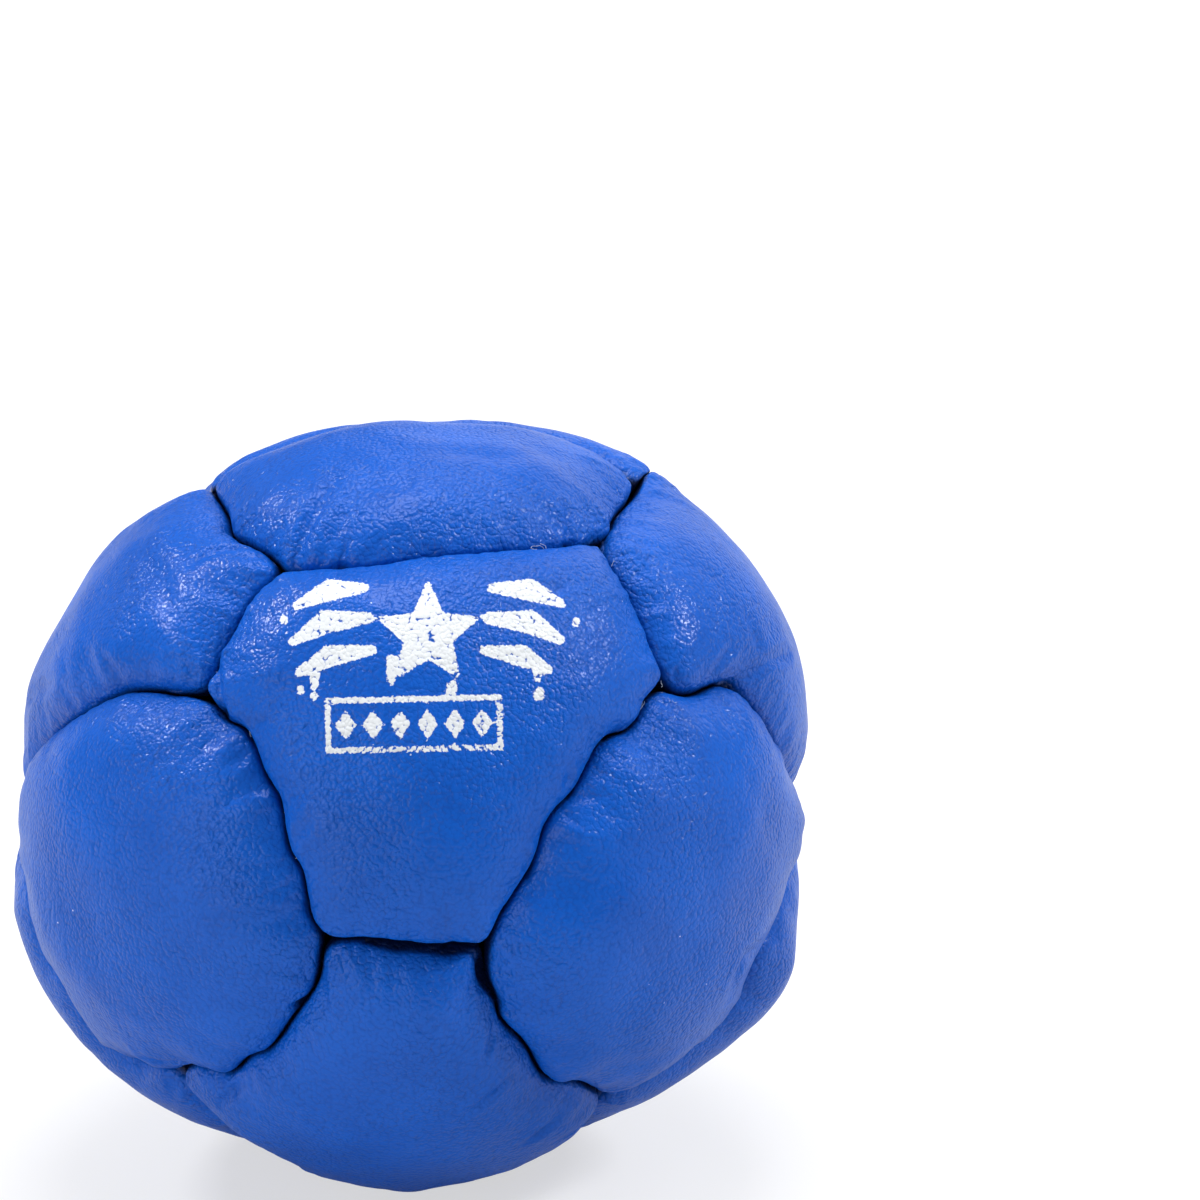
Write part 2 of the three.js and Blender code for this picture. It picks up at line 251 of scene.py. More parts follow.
def panel_outlines():
    """Each panel's name and its corners, anticlockwise as seen from outside."""
    outlines = {
        "square_panel_top": ["top_" + d for d in DIAGONALS],
        "square_panel_bottom": ["bottom_" + d for d in DIAGONALS][::-1],
    }
    for i, diagonal in enumerate(DIAGONALS):
        outlines["square_panel_" + diagonal] = [
            "upper_" + diagonal,
            "middle_" + QUARTERS[i] + "_after",
            "lower_" + diagonal,
            "middle_" + QUARTERS[(i + 1) % 4] + "_before",
        ]
    for i, quarter in enumerate(QUARTERS):
        after, before = DIAGONALS[i], DIAGONALS[i - 1]
        outlines["hexagon_panel_upper_" + quarter] = [
            "top_" + before,
            "upper_" + before,
            "middle_" + quarter + "_before",
            "middle_" + quarter + "_after",
            "upper_" + after,
            "top_" + after,
        ]
        outlines["hexagon_panel_lower_" + quarter] = [
            "middle_" + quarter + "_before",
            "lower_" + before,
            "bottom_" + before,
            "bottom_" + after,
            "lower_" + after,
            "middle_" + quarter + "_after",
        ]
    return outlines


def round_pairs(names):
    """Each name with the one after it, all the way round."""
    return list(zip(names, names[1:] + names[:1]))


CORNERS = sewn_corners()
OUTLINES = panel_outlines()


def along(start, end, share):
    """Points on the great circle from start to end; share may be an array."""
    angle = np.arccos(np.clip(np.sum(start * end, axis=-1), -1, 1))
    share = np.asarray(share, float)
    a = (np.sin(angle * (1 - share)) / np.sin(angle))[..., None]
    b = (np.sin(angle * share) / np.sin(angle))[..., None]
    return a * start + b * end


# The camera, and the way from a pixel of the photograph's frame to the leather under it

IMAGE = 1200
SENSOR = 36.0
LENS = 187.2
FOCAL = IMAGE * LENS / SENSOR
CAMERA_BACK = pointing(-93, 20.5)
CAMERA_PLACE = CAMERA_BACK * 456.0
CAMERA_AIM = np.array([14.49, 5.02, 13.47])
PIXELS_A_MM = 13.7


def camera_axes():
    forward = unit(CAMERA_AIM - CAMERA_PLACE)
    right = unit(np.cross(forward, np.array([0.0, 0.0, 1.0])))
    return forward, right, np.cross(right, forward)


def photo_point(x, y, inside=1.2):
    """Direction from the ball's middle to the leather that shows at a pixel."""
    forward, right, up = camera_axes()
    ray = unit(forward + right * (x - IMAGE / 2) / FOCAL - up * (y - IMAGE / 2) / FOCAL)
    radius = BALL_RADIUS - inside
    for _ in range(6):
        b = CAMERA_PLACE @ ray
        gap = b * b - CAMERA_PLACE @ CAMERA_PLACE + radius * radius
        hit = CAMERA_PLACE + ray * (-b - math.sqrt(max(gap, 0.0)))
        direction = unit(hit)
        radius = float(crown_radius(direction[None])[0]) - inside
    return direction


def photo_line(pixels):
    return np.array([photo_point(x, y) for x, y in pixels])


# Seams: each wanders off its straight course, as hand sewing does.
# The pixels give the course of a seam that shows; the others wander on their own.

SEAM_COURSES = {
    ("upper_front_left", "middle_front_before"): [
        (211, 703), (217, 713), (223, 719), (232, 721), (243, 723), (251, 733), (256, 745),
        (259, 757), (262, 769), (268, 779), (275, 787), (281, 790), (282, 802), (281, 815),
        (281, 828), (283, 841), (286, 853), (292, 863), (298, 869), (301, 881), (303, 896),
        (305, 911), (309, 925), (316, 934),
    ],
    ("middle_front_after", "upper_front_right"): [
        (494, 934), (500, 924), (508, 912), (516, 898), (524, 886), (534, 872), (540, 856),
        (541, 840), (543, 826), (548, 812), (556, 802), (563, 798), (570, 796), (576, 789),
        (582, 776), (588, 762), (592, 750), (600, 738), (608, 731), (618, 729), (626, 731),
        (632, 729), (640, 723), (646, 715), (649, 706), (651, 698), (657, 692),
    ],
    ("middle_front_before", "middle_front_after"): [
        (337, 940), (360, 942), (381, 944), (400, 947), (422, 949), (445, 949), (466, 948),
    ],
    ("top_front_left", "top_front_right"): [
        (297, 567), (309, 563), (321, 562), (342, 562), (356, 564), (371, 562), (386, 561),
        (403, 559), (421, 555), (445, 555), (462, 553), (489, 551), (509, 549), (530, 547),
        (545, 546), (559, 542), (574, 539), (589, 542),
    ],
    ("top_back_left", "top_front_left"): [
        (220, 502), (223, 512), (224, 522), (230, 529), (240, 532), (250, 538), (258, 542),
        (268, 548), (274, 554), (278, 562),
    ],
    ("top_front_right", "top_back_right"): [
        (615, 535), (619, 525), (620, 515), (622, 507), (627, 500),
    ],
    ("top_front_left", "upper_front_left"): [
        (276, 574), (262, 579), (252, 586), (243, 600), (235, 615), (226, 630), (219, 643),
        (213, 655), (209, 670), (205, 681),
    ],
    ("top_front_right", "upper_front_right"): [
        (608, 550), (617, 562), (625, 575), (634, 590), (641, 603), (648, 620), (655, 640),
        (661, 655), (664, 670),
    ],
    ("upper_front_left", "middle_left_after"): [
        (194, 690), (178, 689), (161, 688), (150, 686), (139, 685), (129, 683), (120, 682),
        (108, 684), (97, 687), (80, 696), (61, 703), (50, 711), (40, 724), (33, 737), (27, 755),
    ],
    ("middle_left_after", "lower_front_left"): [
        (28, 863), (26, 882), (28, 904), (32, 924), (39, 949), (50, 971), (64, 993), (80, 1015),
        (100, 1038), (119, 1057), (139, 1068), (158, 1075),
    ],
    ("lower_front_left", "middle_front_before"): [
        (182, 1075), (193, 1074), (205, 1079), (217, 1083), (228, 1086), (236, 1083), (242, 1073),
        (249, 1067), (258, 1068), (269, 1067), (278, 1058), (283, 1048), (289, 1033), (297, 1018),
        (305, 1007), (312, 992), (316, 978), (321, 960),
    ],
    ("middle_front_after", "lower_front_right"): [
        (480, 966), (484, 978), (491, 988), (499, 1004), (502, 1016), (498, 1023), (501, 1030),
        (508, 1038), (522, 1048), (533, 1063), (537, 1077), (543, 1088), (555, 1094), (567, 1092),
        (581, 1092), (590, 1095),
    ],
    ("upper_front_right", "middle_right_before"): [
        (677, 686), (688, 689), (700, 690), (712, 687), (720, 682), (730, 678), (740, 676),
        (747, 682), (755, 692), (765, 706), (775, 721), (785, 738), (790, 753),
    ],
}

# Courses of seams near the ball's outline: share of the length, and how far off to the side
SEAM_BENDS = {
    ("top_back_left", "top_back_right"): [
        (0.06, 0.5), (0.12, 0.9), (0.2, 1.9), (0.32, 3.2), (0.5, 3.9), (0.68, 3.5), (0.8, 2.6),
        (0.9, 1.6), (0.96, 0.8),
    ],
    ("lower_front_right", "middle_right_before"): [
        (0.05, 0.3), (0.2, -1.0), (0.35, -1.3), (0.46, 0.2), (0.53, 3.0), (0.58, 3.4), (0.65, 2.2),
        (0.8, 1.2), (0.92, 0.5),
    ],
}

# How far a panel's edge stands above its neighbours', and the radius over which it rolls
EDGE_LIFTS = {
    "hexagon_panel_upper_front": 0.35,
    "square_panel_top": 0.15,
    "square_panel_front_left": -0.15,
    "square_panel_front_right": -0.2,
    "hexagon_panel_lower_front": -0.3,
}
EDGE_ROLLS = {
    "hexagon_panel_upper_front": 1.1,
    "square_panel_front_right": 1.7,
    "square_panel_front_left": 1.6,
}

# Places where the stitches draw a panel's edge in or, where less than none, let it out:
# the pixel, its reach and its depth
TUCKS = {
    "hexagon_panel_lower_front": [
        (392, 952, 2.4, 0.7), (450, 960, 2.0, 0.8), (490, 984, 1.7, 0.7), (226, 1090, 0.7, 0.5),
    ],
    "square_panel_front_left": [
        (292, 1010, 0.5, 0.6), (250, 733, 0.6, 0.4), (281, 798, 0.6, 0.4), (40, 735, 1.2, 0.3),
    ],
    "square_panel_front_right": [
        (553, 796, 0.8, 0.55), (612, 731, 0.7, 0.4), (763, 957, 0.6, 0.6), (742, 684, 0.7, 0.5),
    ],
    "hexagon_panel_lower_right": [
        (606, 1108, 0.8, 0.6),
    ],
    "hexagon_panel_upper_right": [
        (742, 680, 0.7, 0.5), (662, 672, 0.7, 0.4), (645, 476, 1.8, -0.12),
    ],
    "square_panel_top": [
        (340, 559, 0.5, 0.5), (512, 549, 0.6, 0.35), (574, 538, 0.5, 0.6), (619, 517, 0.6, 0.3),
    ],
    "hexagon_panel_upper_front": [
        (216, 710, 0.7, 0.45),
    ],
    "hexagon_panel_upper_left": [
        (240, 534, 0.6, 0.4), (118, 680, 0.5, 0.35), (52, 700, 1.2, 0.6),
    ],
    "hexagon_panel_upper_back": [
        (645, 476, 1.8, -0.12),
    ],
}

# Soft folds and creases: the width, the depth and the pixels along each
CREASES = {
    "square_panel_top": [
        (0.6, 0.45, [(290, 569), (298, 548), (309, 531), (321, 516), (339, 492)]),
        (0.9, 0.12, [(355, 452), (400, 470), (450, 468), (500, 476), (540, 470)]),
        (0.7, 0.09, [(350, 505), (385, 496), (420, 500)]),
        (0.35, 0.3, [(574, 541), (570, 528), (564, 514)]),
        (0.35, 0.22, [(339, 562), (341, 553), (345, 543)]),
    ],
    "hexagon_panel_upper_left": [
        (0.45, 0.26, [(250, 543), (238, 547), (226, 550), (212, 560), (200, 570)]),
        (0.9, 0.14, [(150, 560), (170, 590), (182, 622)]),
        (0.4, 0.24, [(119, 682), (117, 672), (113, 660)]),
        (0.5, 0.22, [(40, 712), (50, 697), (64, 688)]),
    ],
    "hexagon_panel_upper_front": [
        (0.35, 0.3, [(213, 657), (219, 680), (220, 700), (219, 712)]),
        (0.5, 0.14, [(520, 590), (545, 600), (563, 596)]),
        (0.4, 0.15, [(560, 760), (568, 775), (567, 790)]),
    ],
    "square_panel_front_right": [
        (0.4, 0.26, [(546, 782), (560, 791), (580, 796), (604, 797)]),
        (0.45, 0.12, [(556, 812), (575, 822), (592, 826)]),
        (0.6, 0.24, [(770, 946), (752, 960), (741, 980), (735, 1000)]),
        (0.8, 0.1, [(600, 1060), (640, 1052), (680, 1030)]),
    ],
    "hexagon_panel_upper_right": [
        (0.4, 0.28, [(712, 684), (716, 668), (724, 650)]),
        (0.5, 0.18, [(733, 623), (742, 640), (751, 656)]),
        (0.45, 0.24, [(745, 676), (760, 664), (775, 660)]),
    ],
    "hexagon_panel_lower_front": [
        (0.3, 0.22, [(462, 1101), (480, 1089), (498, 1079), (515, 1070)]),
        (0.35, 0.24, [(518, 1132), (535, 1124), (553, 1115)]),
        (0.3, 0.22, [(482, 1052), (490, 1044), (495, 1034)]),
        (0.35, 0.35, [(241, 1085), (232, 1093), (223, 1100)]),
    ],
    "square_panel_front_left": [
        (0.4, 0.25, [(150, 1052), (163, 1061), (176, 1064), (190, 1070)]),
        (0.4, 0.14, [(196, 702), (206, 716), (222, 730)]),
    ],
}


def seam_key(a, b):
    """A seam's two corners in the order in which its course is measured."""
    for key in ((a, b), (b, a)):
        if key in SEAM_COURSES or key in SEAM_BENDS:
            return key
    return tuple(sorted((a, b)))


def smooth(values, width):
    """A row of samples blurred by a bell curve that many samples wide."""
    reach = int(3 * width) + 1
    bell = np.exp(-0.5 * (np.arange(-reach, reach + 1) / width) ** 2)
    padded = np.concatenate([np.repeat(values[:1], reach), values, np.repeat(values[-1:], reach)])
    return np.convolve(padded, bell / bell.sum(), mode="valid")


class Seam:
    """One seam: its plane, the course that it wanders, and distances from that course."""

    STEP = 0.12
    REACH = 7.0
    EXTRA = 7.0

    def __init__(self, key, number):
        self.start, self.end = CORNERS[key[0]], CORNERS[key[1]]
        self.side = unit(np.cross(self.start, self.end))
        self.angle = math.acos(float(self.start @ self.end))
        self.radius = float(fold_radius(along(self.start, self.end, 0.5)[None])[0])
        self.length = self.angle * self.radius
        self.wave = np.random.default_rng(100 + number)
        self.first_stitch = self.wave.uniform(0, STITCH_PITCH)
        self.course(key)
        self.measure()

    def place(self, d):
        """How far along the seam and how far off it a direction lies, in millimetres."""
        forward = np.cross(self.side, self.start)
        x = np.arctan2(d @ forward, d @ self.start) * self.radius
        return x, np.arcsin(np.clip(d @ self.side, -1, 1)) * self.radius

    def course(self, key):
        self.samples = np.arange(0, self.length + self.STEP, self.STEP)
        if key in SEAM_BENDS:
            share, off = np.array(SEAM_BENDS[key]).T
            self.off = self.smoothed(share * self.length, off)
        elif key in SEAM_COURSES:
            self.off = self.smoothed(*self.place(photo_line(SEAM_COURSES[key])))
        else:
            share = self.samples / self.length
            off = np.zeros_like(share)
            for turns in (1, 2, 3, 5, 7):
                height = 0.75 / turns * self.wave.normal() * min(1, (self.length / 14) ** 2)
                off += height * np.sin(math.pi * turns * share)
            self.off = off * np.clip(np.sin(math.pi * share) * 3, 0, 1)

    def smoothed(self, x, off):
        """The course through points beside the seam, eased so that it meets both corners."""
        order = np.argsort(x)
        x, off = x[order], off[order]
        room = np.minimum(x, self.length - x) - 0.8
        x, off, room = x[room > 0], off[room > 0], room[room > 0]
        off = np.clip(off, -room, room)
        x = np.concatenate([[0.0], x, [self.length]])
        off = np.concatenate([[0.0], off, [0.0]])
        return smooth(np.interp(self.samples, x, off), 3.0)

    def measure(self):
        """Tables of the signed distance from the course, and of the nearest place on it."""
        extra = np.arange(self.STEP, self.EXTRA, self.STEP)
        xs = np.concatenate([-extra[::-1], self.samples, self.length + extra])
        offs = np.concatenate([extra * 0, self.off, extra * 0])
        self.grid_x = np.arange(-self.EXTRA, self.length + self.EXTRA, 2 * self.STEP)
        self.grid_y = np.arange(-self.REACH, self.REACH, 2 * self.STEP)
        gx, gy = np.meshgrid(self.grid_x, self.grid_y, indexing="ij")
        flat_x, flat_y = gx.ravel(), gy.ravel()
        distance = np.empty(flat_x.size)
        nearest = np.empty(flat_x.size)
        for i in range(0, flat_x.size, 2000):
            part = slice(i, i + 2000)
            gap = (flat_x[part, None] - xs) ** 2 + (flat_y[part, None] - offs) ** 2
            best = gap.argmin(axis=1)
            distance[part] = np.sqrt(gap[np.arange(best.size), best])
            nearest[part] = xs[best]
        above = np.sign(flat_y - np.interp(flat_x, xs, offs))
        self.distance = (distance * above).reshape(gx.shape)
        self.nearest = nearest.reshape(gx.shape)

    def look_up(self, table, x, y):
        """Value of a table at a place, blended between its four nearest cells."""
        i = (x - self.grid_x[0]) / (2 * self.STEP)
        j = (y - self.grid_y[0]) / (2 * self.STEP)
        i = np.clip(i, 0, len(self.grid_x) - 1.001)
        j = np.clip(j, 0, len(self.grid_y) - 1.001)
        a, b = i.astype(int), j.astype(int)
        u, v = i - a, j - b
        low = table[a, b] * (1 - u) + table[a + 1, b] * u
        high = table[a, b + 1] * (1 - u) + table[a + 1, b + 1] * u
        return low * (1 - v) + high * v

    def from_course(self, d):
        """Signed distance from the course and the place along it, for rows of directions."""
        x, y = self.place(d)
        near = np.clip(1.3 - np.abs(y) / (0.77 * self.REACH), 0, 1)
        distance = self.look_up(self.distance, x, y)
        distance = near * distance + (1 - near) * y
        return distance, self.look_up(self.nearest, x, y)


def all_seams():
    seams = {}
    for names in OUTLINES.values():
        for a, b in round_pairs(names):
            key = seam_key(a, b)
            if key not in seams:
                seams[key] = Seam(key, len(seams))
    return seams


SEAMS = all_seams()


# Soft unevenness, made of waves that run in every direction


class Waves:
    def __init__(self, seed, length, spread=0.35, count=26):
        rng = np.random.default_rng(seed)
        turn = unit(rng.normal(size=(count, 3)))
        scale = length * np.exp(rng.uniform(-spread, spread, count))
        self.waves = turn * (2 * math.pi / scale)[:, None]
        self.phases = rng.uniform(0, 2 * math.pi, count)

    def at(self, points):
        phase = points @ self.waves.T + self.phases
        return np.sin(phase).sum(axis=-1) * math.sqrt(2 / len(self.phases))


class RowWaves:
    """The same, along one line."""

    def __init__(self, rng, length, spread=0.5, count=12):
        scale = length * np.exp(rng.uniform(-spread, spread, count))
        self.rates = 2 * math.pi / scale
        self.phases = rng.uniform(0, 2 * math.pi, count)

    def at(self, x):
        phase = x[..., None] * self.rates + self.phases
        return np.sin(phase).sum(axis=-1) * math.sqrt(2 / len(self.phases))


# Leather panels


class Panel:
    def __init__(self, name, number):
        self.name = name
        self.number = number
        names = OUTLINES[name]
        self.corners = np.array([CORNERS[n] for n in names])
        self.axis = unit(self.corners.sum(axis=0))
        self.sides = []
        for a, b in round_pairs(names):
            key = seam_key(a, b)
            self.sides.append((SEAMS[key], 1.0 if key == (a, b) else -1.0))
        self.roll = EDGE_ROLLS.get(name, EDGE_ROLL)
        self.lift = EDGE_LIFTS.get(name, 0.0)
        self.roundings = []
        self.turned_back = []
        for i in range(len(names)):
            self.measure_corner(i)

    def measure_corner(self, i):
        """How far a corner is rounded off: less, the nearer it comes to a straight line."""
        here = self.corners[i]
        before, after = self.corners[i - 1], self.corners[(i + 1) % len(self.corners)]
        back = unit(before - here * (here @ before))
        on = unit(after - here * (here @ after))
        blunt = math.sqrt((1 - back @ on) / 2)
        share = (1 - blunt) / (1 - EVEN_BLUNTNESS)
        self.roundings.append(CORNER_ROUNDING * min(max(share, 0.1), 1.2))
        self.turned_back.append(bool(np.cross(on, back) @ here < 0))

    def sewn_inset(self, d):
        """Distance in from the panel's seams, rounded off at its corners."""
        sides = [sign * seam.from_course(d)[0] for seam, sign in self.sides]
        for i, joined in enumerate(self.turned_back):
            if joined:
                sides[i - 1] = sides[i] = np.maximum(sides[i - 1], sides[i])
        inset = np.full(d.shape[:-1], 1e3)
        for i, rounding in enumerate(self.roundings):
            both = np.logaddexp(-sides[i - 1] / rounding, -sides[i] / rounding)
            corner = np.minimum(sides[i - 1], sides[i])
            if not self.turned_back[i]:
                corner = -rounding * both
            inset = np.minimum(inset, corner)
        return inset

    def inset(self, d):
        """Distance in from the visible edge, which the tucks draw back from the seams."""
        inset = self.sewn_inset(d)
        for x, y, reach, depth in TUCKS.get(self.name, ()):
            gap = apart(d, photo_point(x, y)) * BALL_RADIUS
            inset = inset - depth * bell(gap, reach)
        return inset

    def inward(self, d):
        """Unit steps straight in from the nearest seam, for rows of directions."""
        first = unit(np.cross(d, self.axis + np.array([0.31, 0.17, 0.05])))
        total = 0
        for way in (first, np.cross(d, first)):
            step = way * (0.2 / BALL_RADIUS)
            slope = self.sewn_inset(unit(d + step)) - self.sewn_inset(unit(d - step))
            total = total + way * slope[:, None]
        return unit(total)

    def edge_share(self, edge):
        """Share of the way out to each edge direction at which the fold of the leather lies."""
        near, far = np.full(len(edge), 0.3), np.full(len(edge), 1.5)
        for _ in range(26):
            middle = (near + far) / 2
            inside = self.inset(along(self.axis, edge, middle)) > SEAM_GAP / 2
            near, far = np.where(inside, middle, near), np.where(inside, far, middle)
        return near

    def directions(self, x, y):
        """Directions for places in the panel's flat pattern, an even figure of radius one."""
        count = len(self.corners)
        turn = np.arctan2(y, x) % (2 * math.pi)
        sector = np.minimum((turn / (2 * math.pi) * count).astype(int), count - 1)
        step = 2 * math.pi / count
        a, b = sector * step, (sector + 1) * step
        area = math.sin(step)
        from_a = (x * np.sin(b) - y * np.cos(b)) / area
        from_b = (y * np.cos(a) - x * np.sin(a)) / area
        out = np.clip(from_a + from_b, 0, 1)
        share = np.where(out > 1e-9, from_b / np.maximum(out, 1e-9), 0.5)
        share = np.clip(share, 0, 1)
        edges = along(self.corners[sector], self.corners[(sector + 1) % count], share)
        rows = np.linspace(0, count, 60 * count + 1)
        row_sector = np.minimum(rows.astype(int), count - 1)
        ends = self.corners[(row_sector + 1) % count]
        row_edges = along(self.corners[row_sector], ends, rows - row_sector)
        reach = np.interp(sector + share, rows, self.edge_share(row_edges))
        packed = 1 - (1 - out) ** EDGE_PACKING
        return unit(along(self.axis, edges, reach * packed))

    def rise(self, inset):
        """Height of the leather over the fold, at a distance in from the fold."""
        x = np.maximum(inset - SEAM_GAP / 2, 0)
        rolled = np.minimum(x, self.roll)
        height = np.sqrt(self.roll**2 - (self.roll - rolled) ** 2)
        beyond = np.maximum(x - self.roll, 0)
        return height + (GROOVE_DEPTH - self.roll) * (1 - np.exp(-beyond / EDGE_FALLOFF))

    def beside_seams(self, d, seed):
        """Each seam, with the places along it, the distances in from it, and random numbers."""
        for number, (seam, sign) in enumerate(self.sides):
            distance, x = seam.from_course(d)
            own = np.random.default_rng(self.number * 50 + seed + number)
            yield seam, x, np.maximum(sign * distance, 0), own

    def gathers(self, d):
        """Two things that the stitches do: the width they pull the edge in by, and puckers."""
        pull, pucker = 0, 0
        for seam, x, inward, own in self.beside_seams(d, 0):
            place = (x - seam.first_stitch) / STITCH_PITCH
            which = np.round(place)
            nearest = (place - which) * STITCH_PITCH
            tug = 0.5 + 0.5 * np.sin(which * 2.4 + own.uniform(0, 6))
            notch = bell(nearest, NOTCH_WIDTH) * tug
            pull = pull + NOTCH_DEPTH * notch * np.exp(-inward / 1.2)
            lean = x + own.normal() * PUCKER_LEAN * inward
            scallop = -np.cos(2 * math.pi * place) * (0.4 + 0.6 * tug) * np.exp(-inward / 1.7)
            broad = RowWaves(own, PUCKER_LENGTH).at(lean) * np.exp(-inward / 2.2)
            start = np.clip(inward / PUCKER_START, 0, 1)
            pucker = pucker + start * (SCALLOP_HEIGHT * scallop + PUCKER_HEIGHT * broad)
        return pull, pucker

    def fine_relief(self, d):
        """Creases, and the finest puckers along the seams."""
        relief = -self.creases(d)
        for seam, x, inward, own in self.beside_seams(d, 20):
            lean = x + own.normal() * PUCKER_LEAN * inward
            fine = RowWaves(own, FINE_PUCKER_LENGTH).at(lean) * np.exp(-inward / 1.3)
            hair = RowWaves(own, HAIR_PUCKER_LENGTH).at(lean + 0.4 * inward)
            hair = hair * np.exp(-inward / 0.9)
            start = np.clip(inward / PUCKER_START, 0, 1)
            relief = relief + start * (FINE_PUCKER_HEIGHT * fine + HAIR_PUCKER_HEIGHT * hair)
        return relief

    def fans(self, d):
        """Folds that spread into the panel from its corners."""
        total = 0
        for number, corner in enumerate(self.corners):
            rng = np.random.default_rng(self.number * 90 + number)
            inward = unit(self.axis - corner * (self.axis @ corner))
            across = np.cross(corner, inward)
            off = (d - corner) * BALL_RADIUS
            reach = np.linalg.norm(off, axis=1)
            turn = np.arctan2(off @ across, off @ inward)
            fold = RowWaves(rng, FOLD_SPACING).at(turn)
            fade = np.clip(reach / 1.6, 0, 1) ** 2 * np.exp(-reach / rng.uniform(2.0, 3.6))
            total = total + rng.uniform(0.08, 0.24) * fold * fade
        return total

    def surface(self, d):
        """The outer surface of the leather, for rows of directions inside the fold."""
        pull, pucker = self.gathers(d)
        inset = self.inset(d)
        height = self.rise(inset - pull * (inset > SEAM_GAP / 2 + 0.02)) * groove_share(d)
        height = height + pucker
        height = height + self.lift * np.exp(-np.maximum(inset, 0) / 2.2)
        points = d * crown_radius(d)[:, None]
        inner = np.clip((inset - 0.4) / 2.5, 0, 1)
        soft = 0
        for seed, length, swell in SOFT_WAVES:
            soft = soft + swell * Waves(self.number + seed, length).at(points)
        height = height + (soft + self.fans(d)) * inner
        return d * (fold_radius(d) + height)[:, None]

    def creases(self, d):
        """Depth of the soft folds and creases, for rows of directions."""
        total = np.zeros(len(d))
        points = d * BALL_RADIUS
        for width, depth, pixels in CREASES.get(self.name, ()):
            line = photo_line(pixels) * BALL_RADIUS
            best = np.full(len(d), 1e9)
            taper = np.zeros(len(d))
            steps = len(line) - 1
            for i in range(steps):
                step = line[i + 1] - line[i]
                share = np.clip((points - line[i]) @ step / (step @ step), 0, 1)
                gap = np.linalg.norm(points - line[i] - share[:, None] * step, axis=1)
                closer = gap < best
                best = np.where(closer, gap, best)
                arch = np.sin(math.pi * np.clip((i + share) / steps, 0.06, 0.94))
                taper = np.where(closer, arch, taper)
            bank = bell(best - 1.9 * width, 1.2 * width)
            total += depth * np.sqrt(taper) * (bell(best, width) - 0.35 * bank)
        return total


def to_place(points):
    """Rows of millimetre points as metres over the floor."""
    placed = np.array(points, float)
    placed[:, 2] += CENTRE_HEIGHT
    return placed * MM


def sit_on_floor(points):
    """Flattens the underside where the ball rests, rolling up softly round the flat patch."""
    floor = -CENTRE_HEIGHT
    low = points[:, 2] - floor
    softened = FOOT_SOFTNESS * np.logaddexp(0, low / FOOT_SOFTNESS)
    flat = np.hypot(points[:, 0], points[:, 1]) < FOOT_RADIUS
    raised = np.where(flat, np.maximum(low, 0), softened)
    result = points.copy()
    result[:, 2] = floor + np.where(low < 1.5, raised, low)
    return result


def places_of(verts):
    return np.array([vert.co[:] for vert in verts])


def put(verts, points):
    for vert, co in zip(verts, points):
        vert.co = co


def mesh_points(mesh):
    flat = np.empty(3 * len(mesh.vertices))
    mesh.vertices.foreach_get("co", flat)
    return flat.reshape(-1, 3)


def new_piece(name, mesh, material):
    piece = bpy.data.objects.new(name, mesh)
    bpy.context.scene.collection.objects.link(piece)
    mesh.materials.append(material)
    return piece


def mesh_from(bm, name):
    mesh = bpy.data.meshes.new(name)
    bm.to_mesh(mesh)
    bm.free()
    mesh.shade_smooth()
    return mesh


def flat_pattern(count, steps):
    """A flat even figure of that many corners, each corner's quarter a grid of squares."""
    bm = bmesh.new()
    middle = bm.verts.new((0, 0, 0))
    turn = 2 * math.pi / count
    corner = [bm.verts.new((math.cos(turn * i), math.sin(turn * i), 0)) for i in range(count)]
    halfway = []
    for i in range(count):
        halfway.append(bm.verts.new((corner[i].co + corner[(i + 1) % count].co) / 2))
    for i in range(count):
        bm.faces.new((middle, halfway[i - 1], corner[i], halfway[i]))
    bmesh.ops.subdivide_edges(bm, edges=bm.edges, cuts=steps - 1, use_grid_fill=True)
    return bm


def leather_panel(panel, material):
    bm = flat_pattern(len(panel.corners), CLOTH_STEPS)
    bm.verts.ensure_lookup_table()
    flat = places_of(bm.verts)
    directions = panel.directions(flat[:, 0], flat[:, 1])
    points = panel.surface(directions)
    points = swelled(bm, points, panel.inset(directions))
    bm, points = made_finer(bm, points)
    d = unit(points)
    points = sit_on_floor(points + d * panel.fine_relief(d)[:, None])
    put(bm.verts, to_place(points))
    turn_in_edges(bm, panel)
    bmesh.ops.recalc_face_normals(bm, faces=bm.faces)
    mesh = mesh_from(bm, panel.name)
    mark_leather(mesh, panel)
    piece = new_piece(panel.name + "_leather", mesh, material)
    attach(piece, "root")
    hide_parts(panel.name)
    return piece


def brief_object(bm, points):
    """An object that lives for a moment, with its points put there."""
    put(bm.verts, points)
    mesh = bpy.data.meshes.new("brief")
    bm.to_mesh(mesh)
    brief = bpy.data.objects.new("brief", mesh)
    bpy.context.scene.collection.objects.link(brief)
    return brief


